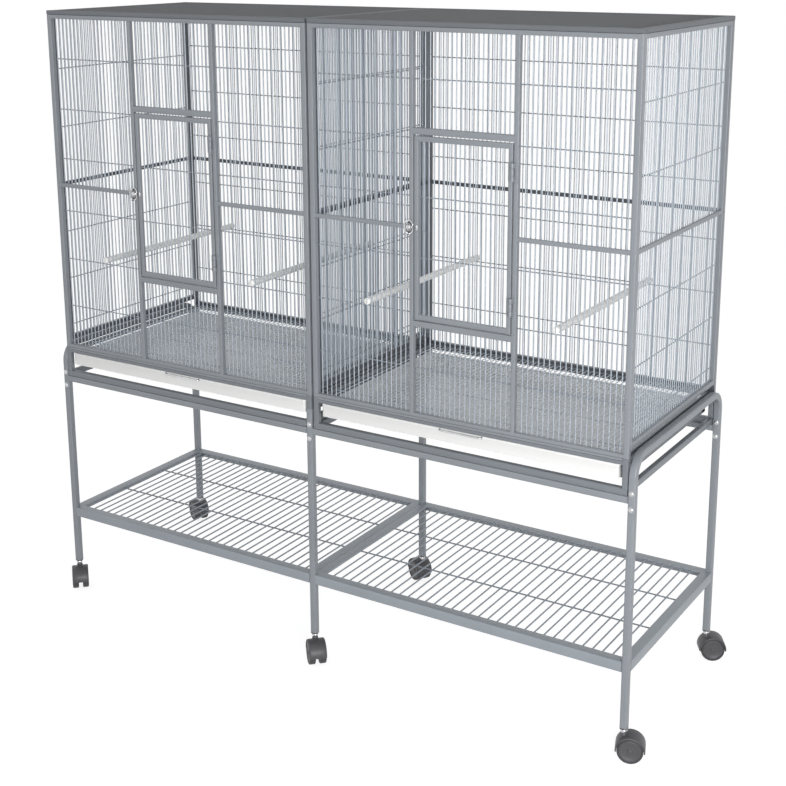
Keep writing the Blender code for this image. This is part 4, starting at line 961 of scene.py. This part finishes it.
def caster_place(corner):
    """The caster's own frame, on the floor under its leg."""
    row, column = corner.split("_")
    x, y = LEG_X[column], LEG_Y * (-1 if row == "front" else 1)
    return Matrix.Translation((x, y, 0)) @ Matrix.Rotation(math.radians(TURNS[corner]), 4, "Z")


def axle_place(corner):
    """A frame whose Z is the axle, which runs along the caster's own Y."""
    tip = Matrix.Rotation(math.radians(-90), 4, "X")
    return caster_place(corner) @ Matrix.Translation((TRAIL, 0, WHEEL_R)) @ tip


def caster_fork(corner):
    """A hood over each wheel, the web between them, the collar, the neck and the stem."""
    place = caster_place(corner)
    axle = axle_place(corner)
    bm = bmesh.new()
    for s in (-1, 1):
        lathe(bm, on_side(HOOD_PROFILE, s), axle, HOOD_STEPS, start=HOOD_START, end=HOOD_START + HOOD_TURN)
    turns = [math.radians(HOOD_START + HOOD_TURN * i / HOOD_STEPS) for i in range(HOOD_STEPS + 1)]
    arc = [(HOOD_OUTER * math.cos(a), HOOD_OUTER * math.sin(a)) for a in turns]
    skin(bm, [[axle @ Vector((u, v, w)) for u, v in arc] for w in (-WEB, WEB)])
    lathe_solid(bm, COLLAR_PROFILE, place, steps=28, mat=1)
    lathe_solid(bm, NECK_PROFILE, place, steps=28)
    lathe_solid(bm, STEM_PROFILE, place, steps=24, mat=1)
    name = corner + "_caster_fork"
    return piece(name + "_dressed", bm, [HOUSING, STEEL], corner + "_swivel", name)


def caster_wheels(corner):
    """Two wheels, each a tread and a disc, on one pin."""
    axle = axle_place(corner)
    bm = bmesh.new()
    for s in (-1, 1):
        lathe(bm, on_side(TREAD_PROFILE, s), axle, steps=48, mat=1)
        lathe_solid(bm, on_side(DISC_PROFILE, s), axle, steps=48)
    lathe_solid(bm, PIN_PROFILE, axle, steps=20, mat=2)
    name = corner + "_caster_wheels"
    return piece(name + "_dressed", bm, [HOUSING, TREAD, STEEL], corner + "_wheels", name)


for cage in ("left", "right"):
    front_panel(cage)
    back_panel(cage)
    side_panel(cage, "left")
    side_panel(cage, "right")
    roof_panel(cage)
    door(cage)
    for hinge in ("upper", "lower"):
        door_hinge(cage, hinge)
    door_latch(cage)
    floor_grate(cage)
    tray(cage)
    perch(cage, "left", -250 * MM)
    perch(cage, "right", 222 * MM)
    base_frame(cage)
    shelf(cage)
    hoop(cage)
    for row in ("front", "back"):
        stand_rail(row, cage)
for row in ("front", "back"):
    for column in ("left", "middle", "right"):
        leg(row, column)
for corner in TURNS:
    caster_fork(corner)
    caster_wheels(corner)


# Camera, floor and light

CAMERA_PLACE = (1.8203, -2.8073, 1.7351)
CAMERA_YAW = 32.104
CAMERA_PITCH = 13.536
CAMERA_ROLL = -0.262
CAMERA_LENS = 63.63
CAMERA_SHIFT = -0.15
FLOOR_HALF = 60
FLOOR_GREY = 0.38
FLOOR_GLOW = 0.83
SKY_LEVEL = 0.66
SKY_ZENITH = 0.39


def make_camera():
    """The camera, from the angles that were fitted to the photograph."""
    yaw, pitch, roll = math.radians(CAMERA_YAW), math.radians(CAMERA_PITCH), math.radians(CAMERA_ROLL)
    forward = Vector((-math.sin(yaw) * math.cos(pitch), math.cos(yaw) * math.cos(pitch), -math.sin(pitch)))
    right = Vector((math.cos(yaw), math.sin(yaw), 0))
    up = right.cross(forward)
    right, up = right * math.cos(roll) + up * math.sin(roll), up * math.cos(roll) - right * math.sin(roll)
    data = bpy.data.cameras.new("photo_camera")
    data.sensor_width = 36
    data.lens = CAMERA_LENS
    data.shift_y = CAMERA_SHIFT
    data.clip_end = 200
    camera = bpy.data.objects.new("photo_camera", data)
    bpy.context.scene.collection.objects.link(camera)
    matrix = Matrix.Identity(4)
    for i in range(3):
        matrix[i][0], matrix[i][1], matrix[i][2] = right[i], up[i], -forward[i]
    matrix.translation = Vector(CAMERA_PLACE)
    camera.matrix_world = matrix
    bpy.context.scene.camera = camera


def math_node(tree, operation, first, second, clamp=False):
    """A node that combines an output with a second output or a number."""
    node = tree.nodes.new("ShaderNodeMath")
    node.operation = operation
    node.use_clamp = clamp
    tree.links.new(first, node.inputs[0])
    if isinstance(second, float):
        node.inputs[1].default_value = second
    else:
        tree.links.new(second, node.inputs[1])
    return node.outputs[0]


def seen_white(tree, strength):
    """An emission that only the camera, mirrors and glass see."""
    path = tree.nodes.new("ShaderNodeLightPath").outputs
    seen = math_node(tree, "ADD", path["Is Camera Ray"], path["Is Glossy Ray"], clamp=True)
    seen = math_node(tree, "ADD", seen, path["Is Transmission Ray"], clamp=True)
    return math_node(tree, "MULTIPLY", seen, strength)


def make_floor():
    """A large pale floor that glows where it is seen, so that only soft shadows show on it."""
    mesh = bpy.data.meshes.new("floor")
    corners = [(FLOOR_HALF * u, FLOOR_HALF * v, 0) for u, v in ((-1, -1), (1, -1), (1, 1), (-1, 1))]
    mesh.from_pydata(corners, [], [(0, 1, 2, 3)])
    floor = bpy.data.objects.new("floor", mesh)
    bpy.context.scene.collection.objects.link(floor)
    material = bpy.data.materials.new("pale_floor")
    material.use_nodes = True
    tree = material.node_tree
    tree.nodes.clear()
    out = tree.nodes.new("ShaderNodeOutputMaterial")
    diffuse = tree.nodes.new("ShaderNodeBsdfDiffuse")
    diffuse.inputs["Color"].default_value = (FLOOR_GREY, FLOOR_GREY, FLOOR_GREY, 1)
    glow = tree.nodes.new("ShaderNodeEmission")
    tree.links.new(seen_white(tree, FLOOR_GLOW), glow.inputs["Strength"])
    both = tree.nodes.new("ShaderNodeAddShader")
    tree.links.new(diffuse.outputs[0], both.inputs[0])
    tree.links.new(glow.outputs[0], both.inputs[1])
    tree.links.new(both.outputs[0], out.inputs["Surface"])
    mesh.materials.append(material)


def make_world():
    """A white background to look at, and a grey sky that gives less light from above than from the sides."""
    world = bpy.data.worlds.new("studio")
    bpy.context.scene.world = world
    world.use_nodes = True
    tree = world.node_tree
    tree.nodes.clear()
    out = tree.nodes.new("ShaderNodeOutputWorld")
    background = tree.nodes.new("ShaderNodeBackground")
    background.inputs["Color"].default_value = (1, 1, 1, 1)
    white = seen_white(tree, 1.0)
    place = tree.nodes.new("ShaderNodeTexCoord")
    split = tree.nodes.new("ShaderNodeSeparateXYZ")
    tree.links.new(place.outputs["Generated"], split.inputs[0])
    sky = tree.nodes.new("ShaderNodeMapRange")
    sky.inputs["From Min"].default_value = 0.0
    sky.inputs["From Max"].default_value = 1.0
    sky.inputs["To Min"].default_value = SKY_LEVEL
    sky.inputs["To Max"].default_value = SKY_ZENITH
    tree.links.new(split.outputs["Z"], sky.inputs["Value"])
    strength = math_node(tree, "MAXIMUM", white, sky.outputs["Result"])
    tree.links.new(strength, background.inputs["Strength"])
    tree.links.new(background.outputs[0], out.inputs["Surface"])


def area_light(name, location, target, size, power):
    """A round lamp that looks at a point."""
    data = bpy.data.lights.new(name, "AREA")
    data.shape = "DISK"
    data.size = size
    data.energy = power
    light = bpy.data.objects.new(name, data)
    bpy.context.scene.collection.objects.link(light)
    light.location = location
    light.rotation_mode = "QUATERNION"
    light.rotation_quaternion = (Vector(target) - Vector(location)).to_track_quat("-Z", "Y")


make_camera()
make_floor()
make_world()
area_light("key", location=(2.5, -2.7, 1.2), target=(0.2, 0, 0.8), size=1.8, power=81)
area_light("fill", location=(-2.8, -3.6, 2.2), target=(0, 0, 0.9), size=2.6, power=12.5)
bpy.context.scene.view_settings.view_transform = "Standard"

bpy.context.view_layer.update()
